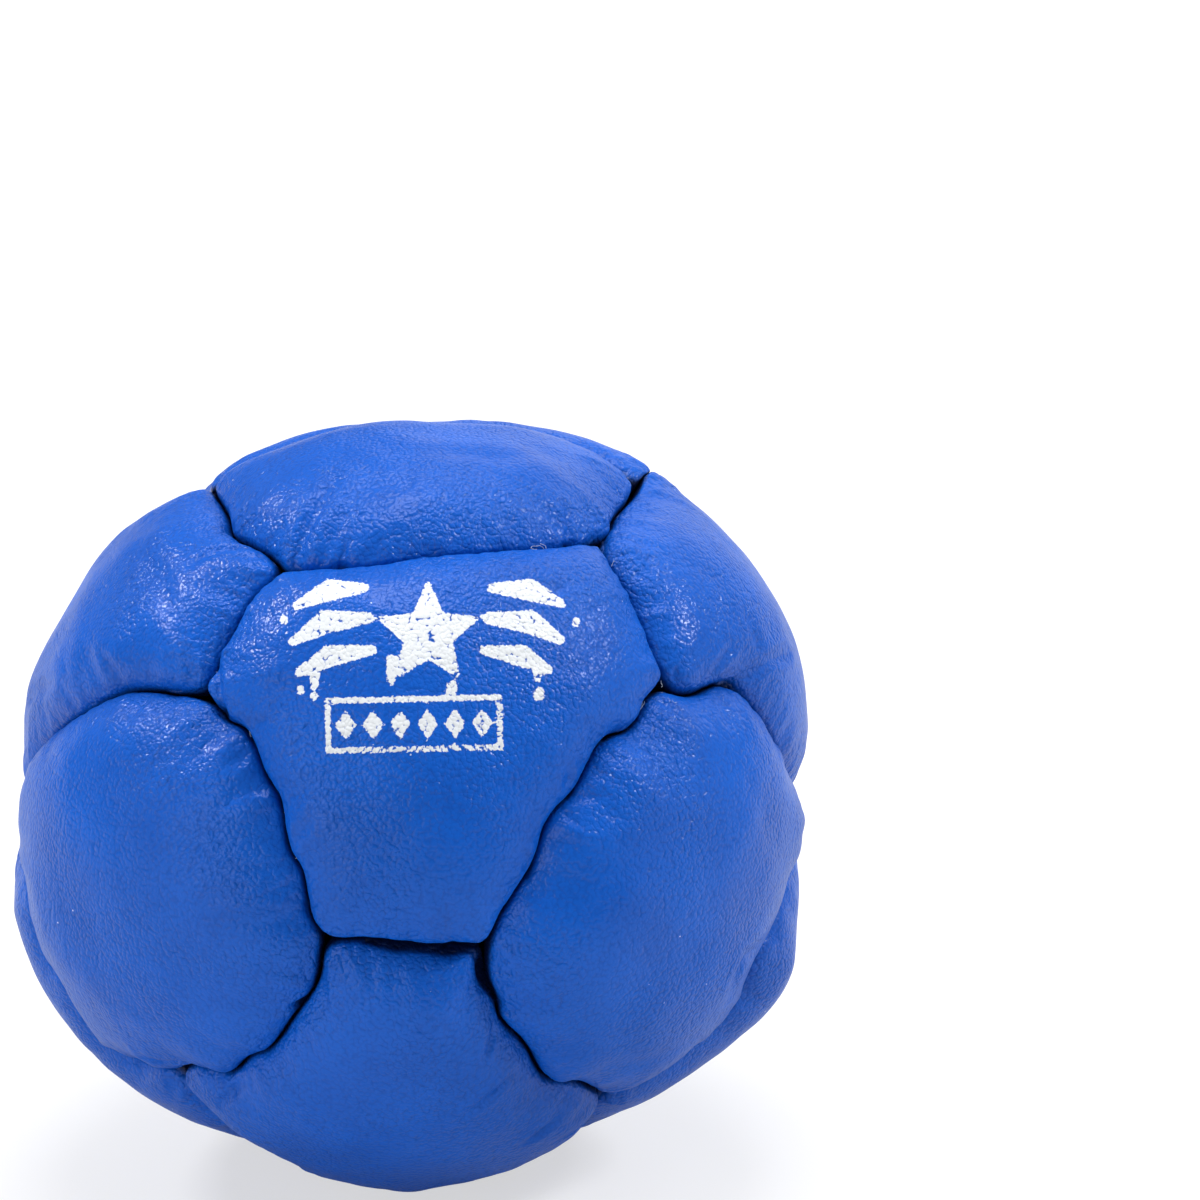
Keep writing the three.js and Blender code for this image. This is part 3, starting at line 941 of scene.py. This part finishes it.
def swelled(bm, points, inset):
    """The leather pressed out by its filling and gathered by its seams, in a cloth simulation."""
    slack = brief_object(bm, points / CLOTH_UNIT)
    sewn = slack.vertex_groups.new(name="sewn")
    gathered = slack.vertex_groups.new(name="gathered")
    sewn.add([int(i) for i in np.nonzero(inset < SEWN_STRIP)[0]], 1.0, "REPLACE")
    for i, near in enumerate(np.exp(-np.maximum(inset - SEWN_STRIP, 0) / GATHER_REACH)):
        gathered.add([i], float(near), "REPLACE")
    modifier = slack.modifiers.new("swell", "CLOTH")
    for name, value in CLOTH.items():
        setattr(modifier.settings, name, value)
    modifier.settings.effector_weights.gravity = 0
    modifier.collision_settings.use_collision = False
    for moment in range(1, 21):
        bpy.context.scene.frame_set(moment)
    settled = slack.evaluated_get(bpy.context.evaluated_depsgraph_get()).data
    moved = mesh_points(settled) * CLOTH_UNIT - points
    bpy.context.scene.frame_set(1)
    bpy.data.meshes.remove(slack.data)
    outward = unit(points)
    risen = np.sum(moved * outward, axis=1)
    rise = risen - np.mean(risen) * (1 - np.exp(-inset / 1.5))
    rise = rise * (MIDDLE_SHARE + (1 - MIDDLE_SHARE) * np.exp(-np.maximum(inset - 1, 0) / 3.0))
    aside = moved - outward * risen[:, None]
    slip = np.linalg.norm(aside, axis=1, keepdims=True)
    aside = aside * np.minimum(1, MOST_SLIP / np.maximum(slip, 1e-9))
    return points + outward * np.clip(rise, *RISE_LIMITS)[:, None] + aside


def made_finer(bm, points):
    """The same skin with every face divided in four and smoothed."""
    coarse = brief_object(bm, points)
    bm.free()
    finer = coarse.modifiers.new("finer", "SUBSURF")
    finer.levels = finer.render_levels = 1
    smooth_mesh = coarse.evaluated_get(bpy.context.evaluated_depsgraph_get()).to_mesh()
    fine = bmesh.new()
    fine.from_mesh(smooth_mesh)
    bpy.data.meshes.remove(coarse.data)
    return fine, places_of(fine.verts)


def from_middle(mesh):
    """The mesh's points in millimetres from the middle of the ball."""
    points = mesh_points(mesh) / MM
    points[:, 2] -= CENTRE_HEIGHT
    return points


def mark_leather(mesh, panel):
    """Notes each point's height over the fold, its depth in the ink and its place on the hide."""
    points = from_middle(mesh)
    d = unit(points)
    height = (np.linalg.norm(points, axis=1) - fold_radius(d)) / groove_share(d)
    mesh.attributes.new("over_fold", "FLOAT", "POINT").data.foreach_set("value", height)
    mesh.attributes.new("ink", "FLOAT", "POINT").data.foreach_set("value", ink_inset(points))
    across = unit(np.cross([0.0, 0.0, 1.0], panel.axis + [0.01, 0.0, 0.0]))
    up = np.cross(panel.axis, across)
    turn = math.radians(HIDE_TURNS.get(panel.name, 40 * panel.number))
    along_grain = across * math.cos(turn) + up * math.sin(turn)
    over_grain = up * math.cos(turn) - across * math.sin(turn)
    hide = np.stack([d @ along_grain, d @ over_grain, d @ panel.axis + panel.number], axis=1)
    laid = mesh.attributes.new("hide", "FLOAT_VECTOR", "POINT")
    laid.data.foreach_set("vector", (hide * BALL_RADIUS).ravel())


def turn_in_edges(bm, panel):
    """Adds the seam allowance and the lining, so that the panel is one closed skin."""
    rim = [edge for edge in bm.edges if edge.is_boundary]
    middle = np.array([0, 0, CENTRE_HEIGHT * MM])
    under = LEATHER_THICKNESS
    stages = [
        ("sewn", 0.4, 0.0),
        ("sewn", 0.3, 0.0),
        ("down", ALLOWANCE - 0.7, 0.0),
        ("across", 0.0, under),
        ("up", ALLOWANCE - 0.3, 0.0),
        ("across", 0.0, 2.2 * under),
    ]
    for way, drop, shift in stages:
        made = bmesh.ops.extrude_edge_only(bm, edges=rim)["geom"]
        verts = [g for g in made if isinstance(g, bmesh.types.BMVert)]
        rim = [g for g in made if isinstance(g, bmesh.types.BMEdge)]
        places = places_of(verts) - middle
        outward = unit(places)
        inward = panel.inward(outward)
        if way == "sewn":
            spare = np.maximum(panel.sewn_inset(outward) - TOUCHING_GAP, 0)
            places = places - inward * spare[:, None] * MM
        fall = drop if way == "up" else -drop
        places = places + (outward * fall + inward * shift) * MM
        put(verts, places + middle)
    crown = float(crown_radius(panel.axis[None])[0])
    top = Vector(middle + panel.axis * (crown - LINING_DEPTH) * MM)
    made = bmesh.ops.extrude_edge_only(bm, edges=rim)["geom"]
    verts = [g for g in made if isinstance(g, bmesh.types.BMVert)]
    bmesh.ops.pointmerge(bm, verts=verts, merge_co=top)


# Print on the front panel: a plain star between slanting strokes, over a framed row of lozenges

PRINTED_PANEL = "hexagon_panel_upper_front"
PRINT_MIDDLE = (428, 634)
STROKES = [
    ([(296, 606), (330, 590), (364, 588)], (4, 11, 5)),
    ([(292, 642), (326, 622), (368, 618)], (4, 12, 6)),
    ([(300, 672), (330, 656), (372, 650)], (5, 11, 5)),
    ([(316, 662), (314, 686)], (6, 4)),
    ([(492, 588), (530, 590), (562, 604)], (5, 11, 4)),
    ([(488, 618), (530, 622), (560, 640)], (6, 12, 5)),
    ([(484, 650), (522, 656), (548, 670)], (5, 11, 5)),
    ([(536, 664), (538, 680)], (6, 3)),
    ([(392, 660), (391, 682)], (6, 4)),
]
DROPS = [(539, 694, 6), (452, 688, 6), (300, 690, 4), (576, 622, 4), (284, 620, 4), (314, 696, 4)]
STAR_POINTS = 5
STAR_REACH = 56
STAR_WAIST = 26
FRAME_MIDDLE = (414, 724)
FRAME_HALF = (86, 25)
FRAME_LINE = 3.0
LOZENGES = 6
LOZENGE_HALF = (11, 15)
FRAME_TILT = -1.2


def photo_pixels(points):
    """The pixels at which points near the ball show, and how far they face the camera."""
    forward, right, up = camera_axes()
    away = points - CAMERA_PLACE
    depth = away @ forward
    x = IMAGE / 2 + FOCAL * (away @ right) / depth
    y = IMAGE / 2 - FOCAL * (away @ up) / depth
    return x, y, unit(points) @ CAMERA_BACK


def stroke_inset(x, y, route, widths):
    """How far inside a brushed stroke each pixel lies."""
    best = np.full(len(x), -1e3)
    for (ax, ay), (bx, by), wa, wb in zip(route, route[1:], widths, widths[1:]):
        dx, dy = bx - ax, by - ay
        share = np.clip(((x - ax) * dx + (y - ay) * dy) / (dx * dx + dy * dy), 0, 1)
        gap = np.hypot(x - ax - share * dx, y - ay - share * dy)
        best = np.maximum(best, wa + (wb - wa) * share - gap)
    return best


def star_inset(x, y):
    turn = math.pi / STAR_POINTS
    angle = np.arctan2(x - PRINT_MIDDLE[0], PRINT_MIDDLE[1] - y)
    angle = np.abs((angle + turn) % (2 * turn) - turn)
    away = np.hypot(x - PRINT_MIDDLE[0], y - PRINT_MIDDLE[1])
    px, py = away * np.cos(angle), away * np.sin(angle)
    tip = np.array([STAR_REACH, 0.0])
    waist = STAR_WAIST * np.array([math.cos(turn), math.sin(turn)])
    side = waist - tip
    normal = np.array([side[1], -side[0]]) / np.hypot(*side)
    return -((px - tip[0]) * normal[0] + (py - tip[1]) * normal[1])


def framed_lozenges(x, y):
    tilt = math.radians(FRAME_TILT)
    dx, dy = x - FRAME_MIDDLE[0], y - FRAME_MIDDLE[1]
    u = dx * math.cos(tilt) + dy * math.sin(tilt)
    v = dy * math.cos(tilt) - dx * math.sin(tilt)
    edge = np.maximum(np.abs(u) - FRAME_HALF[0], np.abs(v) - FRAME_HALF[1])
    frame_line = FRAME_LINE - np.abs(edge)
    pitch = 2 * (FRAME_HALF[0] - 4) / LOZENGES
    row = (u + FRAME_HALF[0] - 4) / pitch
    near = (row - np.clip(np.floor(row), 0, LOZENGES - 1) - 0.5) * pitch
    lozenge = 1 - np.abs(near) / LOZENGE_HALF[0] - np.abs(v) / LOZENGE_HALF[1]
    return np.maximum(frame_line, lozenge * min(LOZENGE_HALF) * 0.75)


def ink_inset(points):
    """How far inside the printed ink each point lies, in millimetres; less than none outside."""
    x, y, facing = photo_pixels(points)
    best = np.maximum(star_inset(x, y), framed_lozenges(x, y))
    for route, widths in STROKES:
        best = np.maximum(best, stroke_inset(x, y, route, widths))
    for cx, cy, reach in DROPS:
        best = np.maximum(best, reach - np.hypot(x - cx, (y - cy) * 0.8))
    shown = (facing > 0.3) & (np.linalg.norm(points, axis=1) > BALL_RADIUS - GROOVE_DEPTH)
    return np.where(shown, np.maximum(best, -20), -20) / PIXELS_A_MM


# Materials


def feed(tree, target, inputs):
    """Gives a node's sockets, by name or number, a value or another node's output."""
    for key, value in inputs.items():
        if isinstance(value, bpy.types.NodeSocket):
            tree.links.new(value, target.inputs[key])
        elif value is not None:
            target.inputs[key].default_value = value


def node(tree, kind, inputs, **values):
    made = tree.nodes.new(kind)
    for key, value in values.items():
        setattr(made, key, value)
    feed(tree, made, inputs)
    return made


def object_coordinates(tree):
    """Object coordinates in millimetres."""
    place = node(tree, "ShaderNodeTexCoord", {}).outputs["Object"]
    scale = (1 / MM, 1 / MM, 1 / MM)
    return node(tree, "ShaderNodeMapping", {"Vector": place, "Scale": scale}).outputs["Vector"]


def ramp(tree, source, stops):
    made = node(tree, "ShaderNodeValToRGB", {"Fac": source})
    while len(made.color_ramp.elements) < len(stops):
        made.color_ramp.elements.new(0.5)
    for element, (position, colour) in zip(made.color_ramp.elements, stops):
        element.position = position
        element.color = (*colour, 1)
    return made.outputs["Color"]


def new_material(name):
    material = bpy.data.materials.new(name)
    material.use_nodes = True
    tree = material.node_tree
    return material, tree, tree.nodes["Principled BSDF"]


def maths(tree, operation, a, b=None, c=None):
    """A Math node; each value is a number or another node's output."""
    made = node(tree, "ShaderNodeMath", {0: a, 1: b, 2: c}, operation=operation)
    return made.outputs[0]


def between(tree, value, low, high):
    """From 0 at the low value to 1 at the high one, eased at both ends."""
    inputs = {"Value": value, "From Min": low, "From Max": high}
    made = node(tree, "ShaderNodeMapRange", inputs, interpolation_type="SMOOTHSTEP")
    return made.outputs["Result"]


def blend(tree, share, first, second):
    """Two colours mixed; each is four numbers or another node's output."""
    return node(tree, "ShaderNodeMix", {0: share, 6: first, 7: second}, data_type="RGBA").outputs[2]


def noise(tree, place, scale, detail=2.0, kind="FBM"):
    inputs = {"Vector": place, "Scale": scale, "Detail": detail}
    return node(tree, "ShaderNodeTexNoise", inputs, noise_type=kind)


def cells(tree, place, scale, feature="F1"):
    inputs = {"Vector": place, "Scale": scale}
    return node(tree, "ShaderNodeTexVoronoi", inputs, feature=feature)


def attribute(tree, name, output="Fac"):
    return node(tree, "ShaderNodeAttribute", {}, attribute_name=name).outputs[output]


def scaled(tree, vector, scale, shift=None):
    """A vector times three numbers, with another node's vector added."""
    inputs = {0: vector, 1: scale, 2: shift}
    return node(tree, "ShaderNodeVectorMath", inputs, operation="MULTIPLY_ADD").outputs["Vector"]


def leather_grain(tree, place):
    """Height of the grain in millimetres, the distance from its pebbles, and its fine cracks."""
    sway = noise(tree, place, 1.2, 3).outputs["Color"]
    swayed = scaled(tree, sway, (0.5, 0.5, 0.5), place)
    pebbles = cells(tree, swayed, PEBBLES_A_MM, "SMOOTH_F1")
    pebbles.inputs["Smoothness"].default_value = 0.25
    distance = pebbles.outputs["Distance"]
    dome = maths(tree, "MULTIPLY_ADD", maths(tree, "MULTIPLY", distance, distance), -2.2, 1.0)
    pebbly = between(tree, noise(tree, place, 0.13, 2).outputs["Fac"], 0.35, 0.65)
    height = maths(tree, "MULTIPLY", dome, maths(tree, "MULTIPLY_ADD", pebbly, *PEBBLE_DEPTH))

    # Creases that run with the stretch of each panel, and finer cracks across them
    hide = attribute(tree, "hide", "Vector")
    lay = scaled(tree, hide, (0.55, 2.2, 1.0), scaled(tree, sway, (0.3, 0.3, 0.3)))
    creases = noise(tree, lay, 1.0, 3, "RIDGED_MULTIFRACTAL").outputs["Fac"]
    cracks = noise(tree, swayed, 3.5, 3, "RIDGED_MULTIFRACTAL").outputs["Fac"]
    height = maths(tree, "MULTIPLY_ADD", creases, -CREASE_DEPTH, height)
    height = maths(tree, "MULTIPLY_ADD", cracks, -CRACK_DEPTH, height)
    return height, distance


def blue_leather(name, printed):
    material, tree, shader = new_material(name)
    place = object_coordinates(tree)
    height, distance = leather_grain(tree, place)
    bump = node(tree, "ShaderNodeBump", {"Height": height, "Strength": 1.0, "Distance": MM})

    # The dye, a little uneven, with painted shade between the pebbles and painted shade down in the
    # seams
    patches = noise(tree, place, 0.16, 2).outputs["Fac"]
    colour = ramp(tree, patches, [(0.3, DEEP_BLUE), (0.7, CLEAR_BLUE)])
    # Painted shade: the colour darkens towards the edge of each pebble, in the hollows of the grain
    painted_pebble_shade = maths(tree, "MULTIPLY", between(tree, distance, 0.35, 0.8), 0.2)
    colour = blend(tree, painted_pebble_shade, colour, (0.0, 0.020, 0.16, 1))
    # Painted shade: near-black down in the seam grooves, below the roll of each panel's edge
    seam = maths(tree, "SUBTRACT", 1.0, between(tree, attribute(tree, "over_fold"), -0.4, 0.45))
    colour = blend(tree, seam, colour, (0.0, 0.004, 0.03, 1))

    # Specks of dust, on a few of the cells
    specks = cells(tree, place, 0.9)
    small_speck = maths(tree, "LESS_THAN", specks.outputs["Distance"], 0.055)
    few = node(tree, "ShaderNodeSeparateColor", {"Color": specks.outputs["Color"]})
    rare = maths(tree, "GREATER_THAN", few.outputs["Red"], 0.93)
    colour = blend(tree, maths(tree, "MULTIPLY", small_speck, rare), colour, (0.45, 0.55, 0.75, 1))

    roughness = maths(tree, "MULTIPLY_ADD", patches, 0.1, 0.45)
    if printed:
        fine = noise(tree, place, 5.5, 3).outputs["Fac"]
        frayed = maths(tree, "MULTIPLY_ADD", fine, 0.34, attribute(tree, "ink"))
        frayed = maths(tree, "MULTIPLY_ADD", distance, -0.1, frayed)
        inked = between(tree, maths(tree, "SUBTRACT", frayed, 0.13), -0.03, 0.03)
        worn = between(tree, maths(tree, "MULTIPLY_ADD", fine, -0.6, distance), 0.62, 0.4)
        inked = maths(tree, "MULTIPLY", inked, worn)
        colour = blend(tree, inked, colour, PALE_INK)
        roughness = maths(tree, "MULTIPLY_ADD", inked, 0.15, roughness)
    feed(tree, shader, {
        "Base Color": colour,
        "Roughness": roughness,
        "Specular IOR Level": 0.08,
        "Coat Weight": 0.31,
        "Coat IOR": 1.45,
        "Coat Roughness": 0.13,
        "Normal": bump.outputs["Normal"],
        "Coat Normal": bump.outputs["Normal"],
    })
    return material


def simple_material(name, texture, stops, roughness, relief=0.0, invert=False):
    """A colour that follows a texture of the place, with a little relief in millimetres."""
    material, tree, shader = new_material(name)
    value = texture(tree, object_coordinates(tree))
    feed(tree, shader, {"Base Color": ramp(tree, value, stops), "Roughness": roughness})
    if relief:
        inputs = {"Height": value, "Distance": relief * MM}
        bump = node(tree, "ShaderNodeBump", inputs, invert=invert)
        feed(tree, shader, {"Normal": bump.outputs["Normal"]})
    return material


def waxed_thread():
    return simple_material(
        "waxed_thread",
        lambda tree, place: noise(tree, place, 6).outputs["Fac"],
        [(0.3, (0.004, 0.018, 0.10)), (0.7, (0.012, 0.045, 0.20))],
        0.65,
        0.03,
    )


def pale_fibre():
    return simple_material(
        "pale_fibre",
        lambda tree, place: noise(tree, place, 1.5).outputs["Fac"],
        [(0.35, (0.16, 0.22, 0.36)), (0.6, (0.42, 0.48, 0.60))],
        0.8,
    )


def pale_pellets():
    return simple_material(
        "pale_pellets",
        lambda tree, place: cells(tree, place, 0.45).outputs["Distance"],
        # Pale in the middle of each cell and darker towards its edges: painted shade between the
        # pellets
        [(0.2, (0.62, 0.65, 0.68)), (0.9, (0.30, 0.32, 0.35))],
        0.45,
        0.8,
        True,
    )


def by_camera(tree, others, camera, output):
    """Shows one shader to the camera and another to every other ray."""
    path = node(tree, "ShaderNodeLightPath", {})
    inputs = {"Fac": path.outputs["Is Camera Ray"], 1: others.outputs[0], 2: camera.outputs[0]}
    seen = node(tree, "ShaderNodeMixShader", inputs)
    feed(tree, output, {"Surface": seen.outputs[0]})


def studio_white():
    """White to the camera, with a light shadow; a duller white in what the ball reflects."""
    material, tree, shader = new_material("studio_white")
    feed(tree, shader, {
        "Base Color": (0.9, 0.9, 0.9, 1),
        "Roughness": 0.8,
        "Specular IOR Level": 0.1,
    })
    glow = node(tree, "ShaderNodeEmission", {})
    inputs = {"Fac": 0.6, 1: shader.outputs[0], 2: glow.outputs[0]}
    lit = node(tree, "ShaderNodeMixShader", inputs)
    dull = node(tree, "ShaderNodeBsdfDiffuse", {"Color": (0.7, 0.7, 0.7, 1)})
    by_camera(tree, dull, lit, tree.nodes["Material Output"])
    return material


# Thread


def tubes(name, routes, radius, material):
    """One piece made of smooth thin tubes, each along a row of millimetre points."""
    curve = bpy.data.curves.new(name, "CURVE")
    curve.dimensions = "3D"
    curve.bevel_depth = radius * MM
    curve.bevel_resolution = 2
    curve.resolution_u = 6
    curve.use_fill_caps = True
    for route in routes:
        spline = curve.splines.new("BEZIER")
        spline.bezier_points.add(len(route) - 1)
        for bezier, co in zip(spline.bezier_points, to_place(route)):
            bezier.co = co
            bezier.handle_left_type = "AUTO"
            bezier.handle_right_type = "AUTO"
    bent = bpy.data.objects.new(name + "_tube", curve)
    mesh = bpy.data.meshes.new_from_object(bent)
    bpy.data.objects.remove(bent)
    bpy.data.curves.remove(curve)
    bm = bmesh.new()
    bm.from_mesh(mesh)
    bmesh.ops.remove_doubles(bm, verts=bm.verts, dist=1e-7)
    bmesh.ops.recalc_face_normals(bm, faces=bm.faces)
    bpy.data.meshes.remove(mesh)
    piece = new_piece(name, mesh_from(bm, name), material)
    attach(piece, "root")
    return piece


def seam_thread(seam, node_name, material):
    """A run of stitches that lies on alternate faces of the turned-in edges."""
    holes = max(round((seam.length - 2 * END_STITCH) / STITCH_PITCH), 1) + 1
    route = []
    for i, x in enumerate(np.linspace(END_STITCH, seam.length - END_STITCH, holes)):
        face = STITCH_OFF if i % 2 == 0 else -STITCH_OFF
        for near_x, off in ((x - THREAD_RADIUS, face), (x + THREAD_RADIUS, -face)):
            middle = along(seam.start, seam.end, near_x / seam.length)
            wander = float(np.interp(near_x, seam.samples, seam.off))
            d = unit(middle + seam.side * (wander + off) / seam.radius)
            route.append(d * (float(fold_radius(d[None])[0]) - STITCH_DEPTH))
    piece = tubes(node_name + "_stitches", [route], THREAD_RADIUS, material)
    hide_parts(node_name)


# Fibres caught in the seams: the pixel, how long each is in millimetres, and which way it lies
FIBRES = [
    (250, 737, 1.5, 20), (252, 740, 1.1, 75), (247, 735, 0.9, 130), (281, 813, 0.8, 60),
    (518, 548, 1.2, 10), (548, 545, 2.4, 95), (551, 548, 1.8, 70), (544, 548, 1.4, 120),
    (553, 546, 1.3, 30), (617, 560, 1.3, 40), (646, 708, 1.3, 60), (648, 704, 1.0, 110),
    (668, 684, 0.9, 15), (297, 863, 0.9, 80), (563, 783, 0.8, 140),
]


def stray_fibres(material):
    """Short curling fibres that stand out of the seams in front."""
    rng = np.random.default_rng(5)
    routes = []
    for x, y, length, turn in FIBRES:
        root = photo_point(x, y)
        across = unit(np.cross([0.0, 0.0, 1.0], root))
        up = np.cross(root, across)
        heading = math.radians(turn)
        place = root * (float(fold_radius(root[None])[0]) + 0.5)
        out = 0.9
        route = [place]
        for _ in range(5):
            step = across * math.cos(heading) + up * math.sin(heading) + root * out
            place = place + unit(step) * length * 0.12
            route.append(place)
            heading += rng.normal() * 0.7
            out = out * 0.6 + rng.normal() * 0.25
        routes.append(route)
    tubes("stray_fibres", routes, FIBRE_RADIUS, material)


# Filling


def pellet_filling(panels, material):
    """The loose pellets as one lobed mass that swells up into every panel, bead by bead."""
    bm = bmesh.new()
    bmesh.ops.create_icosphere(bm, subdivisions=7, radius=1)
    d = unit(places_of(bm.verts))
    inset = np.max([panel.inset(d) for panel in panels], axis=0)
    lobe = np.clip((inset - LOBE_START) / LOBE_SLOPE, 0, 1)
    lobe = lobe * lobe * (3 - 2 * lobe)
    low = fold_radius(d) - ALLOWANCE - 3 * PELLET_CLEARANCE
    high = crown_radius(d) - LINING_DEPTH - PELLET_CLEARANCE
    beads = bead_middles()
    nearest = np.concatenate([np.max(part @ beads.T, axis=1) for part in np.array_split(d, 40)])
    gap = np.arccos(np.clip(nearest, -1, 1)) * BALL_RADIUS
    dip = PELLET_RADIUS - np.sqrt(np.maximum(PELLET_RADIUS**2 - gap**2, 0))
    points = d * (low + (high - low) * lobe - dip)[:, None]
    put(bm.verts, to_place(points))
    piece = new_piece("pellets", mesh_from(bm, "pellets"), material)
    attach(piece, "root")
    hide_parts("pellet_filling")
    return piece


def bead_middles():
    """Directions of the outermost pellets, spread evenly and then jostled a little."""
    count = round(4 * (BALL_RADIUS / PELLET_RADIUS) ** 2 * PELLET_PACKING)
    i = np.arange(count) + 0.5
    lift = 1 - 2 * i / count
    turn = i * math.pi * (3 - math.sqrt(5))
    flat = np.sqrt(1 - lift**2)
    even = np.stack([flat * np.cos(turn), flat * np.sin(turn), lift], axis=1)
    rng = np.random.default_rng(7)
    return unit(even + rng.normal(size=even.shape) * 0.25 * PELLET_RADIUS / BALL_RADIUS)


def aimed(name, data, place, target):
    """Puts a camera or a lamp at a place, turned towards a target."""
    holder = bpy.data.objects.new(name, data)
    holder.location = place
    holder.rotation_euler = (Vector(target) - Vector(place)).to_track_quat("-Z", "Y").to_euler()
    bpy.context.scene.collection.objects.link(holder)
    return holder


def stage_and_camera():
    bm = bmesh.new()
    bmesh.ops.create_grid(bm, x_segments=1, y_segments=1, size=3)
    floor = new_piece("floor", mesh_from(bm, "floor"), studio_white())
    camera = bpy.data.cameras.new("camera")
    camera.lens = LENS
    camera.sensor_width = SENSOR
    camera.clip_start, camera.clip_end = 0.01, 20
    place, aim = to_place(np.array([CAMERA_PLACE, CAMERA_AIM]))
    bpy.context.scene.camera = aimed("camera", camera, place, aim)


# Lamps: degrees round and up from the ball, metres away, metres wide, watts
LAMPS = [
    ("overhead", 80, 80, 0.7, 0.35, 3.3),
    ("upper_right", -5, 41, 0.7, 0.13, 2.8),
    ("upper_left", 152, 45, 0.7, 0.13, 2.7),
    ("left_side", -136, 15, 0.8, 0.6, 3.1),
    ("right_side", -18, 15, 0.8, 0.6, 0.8),
    ("behind", 62, 25, 0.9, 0.8, 2.3),
]


def studio():
    world = bpy.data.worlds.new("studio")
    bpy.context.scene.world = world
    world.use_nodes = True
    tree = world.node_tree
    tree.nodes.clear()
    light = node(tree, "ShaderNodeBackground", {"Color": (1, 1, 1, 1), "Strength": 0.25})
    white = node(tree, "ShaderNodeBackground", {"Strength": 1.0})
    by_camera(tree, light, white, node(tree, "ShaderNodeOutputWorld", {}))
    middle = np.array([0, 0, CENTRE_HEIGHT * MM])
    for name, turn, lift, away, size, power in LAMPS:
        lamp = bpy.data.lights.new(name, "AREA")
        lamp.shape = "SQUARE"
        lamp.size = size
        lamp.energy = power
        aimed(name, lamp, middle + pointing(turn, lift) * away, middle)
    bpy.context.scene.view_settings.view_transform = "Standard"


def node_of_seam(key):
    names = {"seam_thread_" + key[0] + "_to_" + key[1], "seam_thread_" + key[1] + "_to_" + key[0]}
    return next(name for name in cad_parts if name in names)


def footbag():
    leather = blue_leather("blue_leather", False)
    printed_leather = blue_leather("printed_blue_leather", True)
    thread = waxed_thread()
    panels = [Panel(name, number) for number, name in enumerate(OUTLINES)]
    for panel in panels:
        leather_panel(panel, printed_leather if panel.name == PRINTED_PANEL else leather)
    for key, seam in SEAMS.items():
        seam_thread(seam, node_of_seam(key), thread)
    stray_fibres(pale_fibre())
    pellet_filling(panels, pale_pellets())


footbag()
studio()
stage_and_camera()
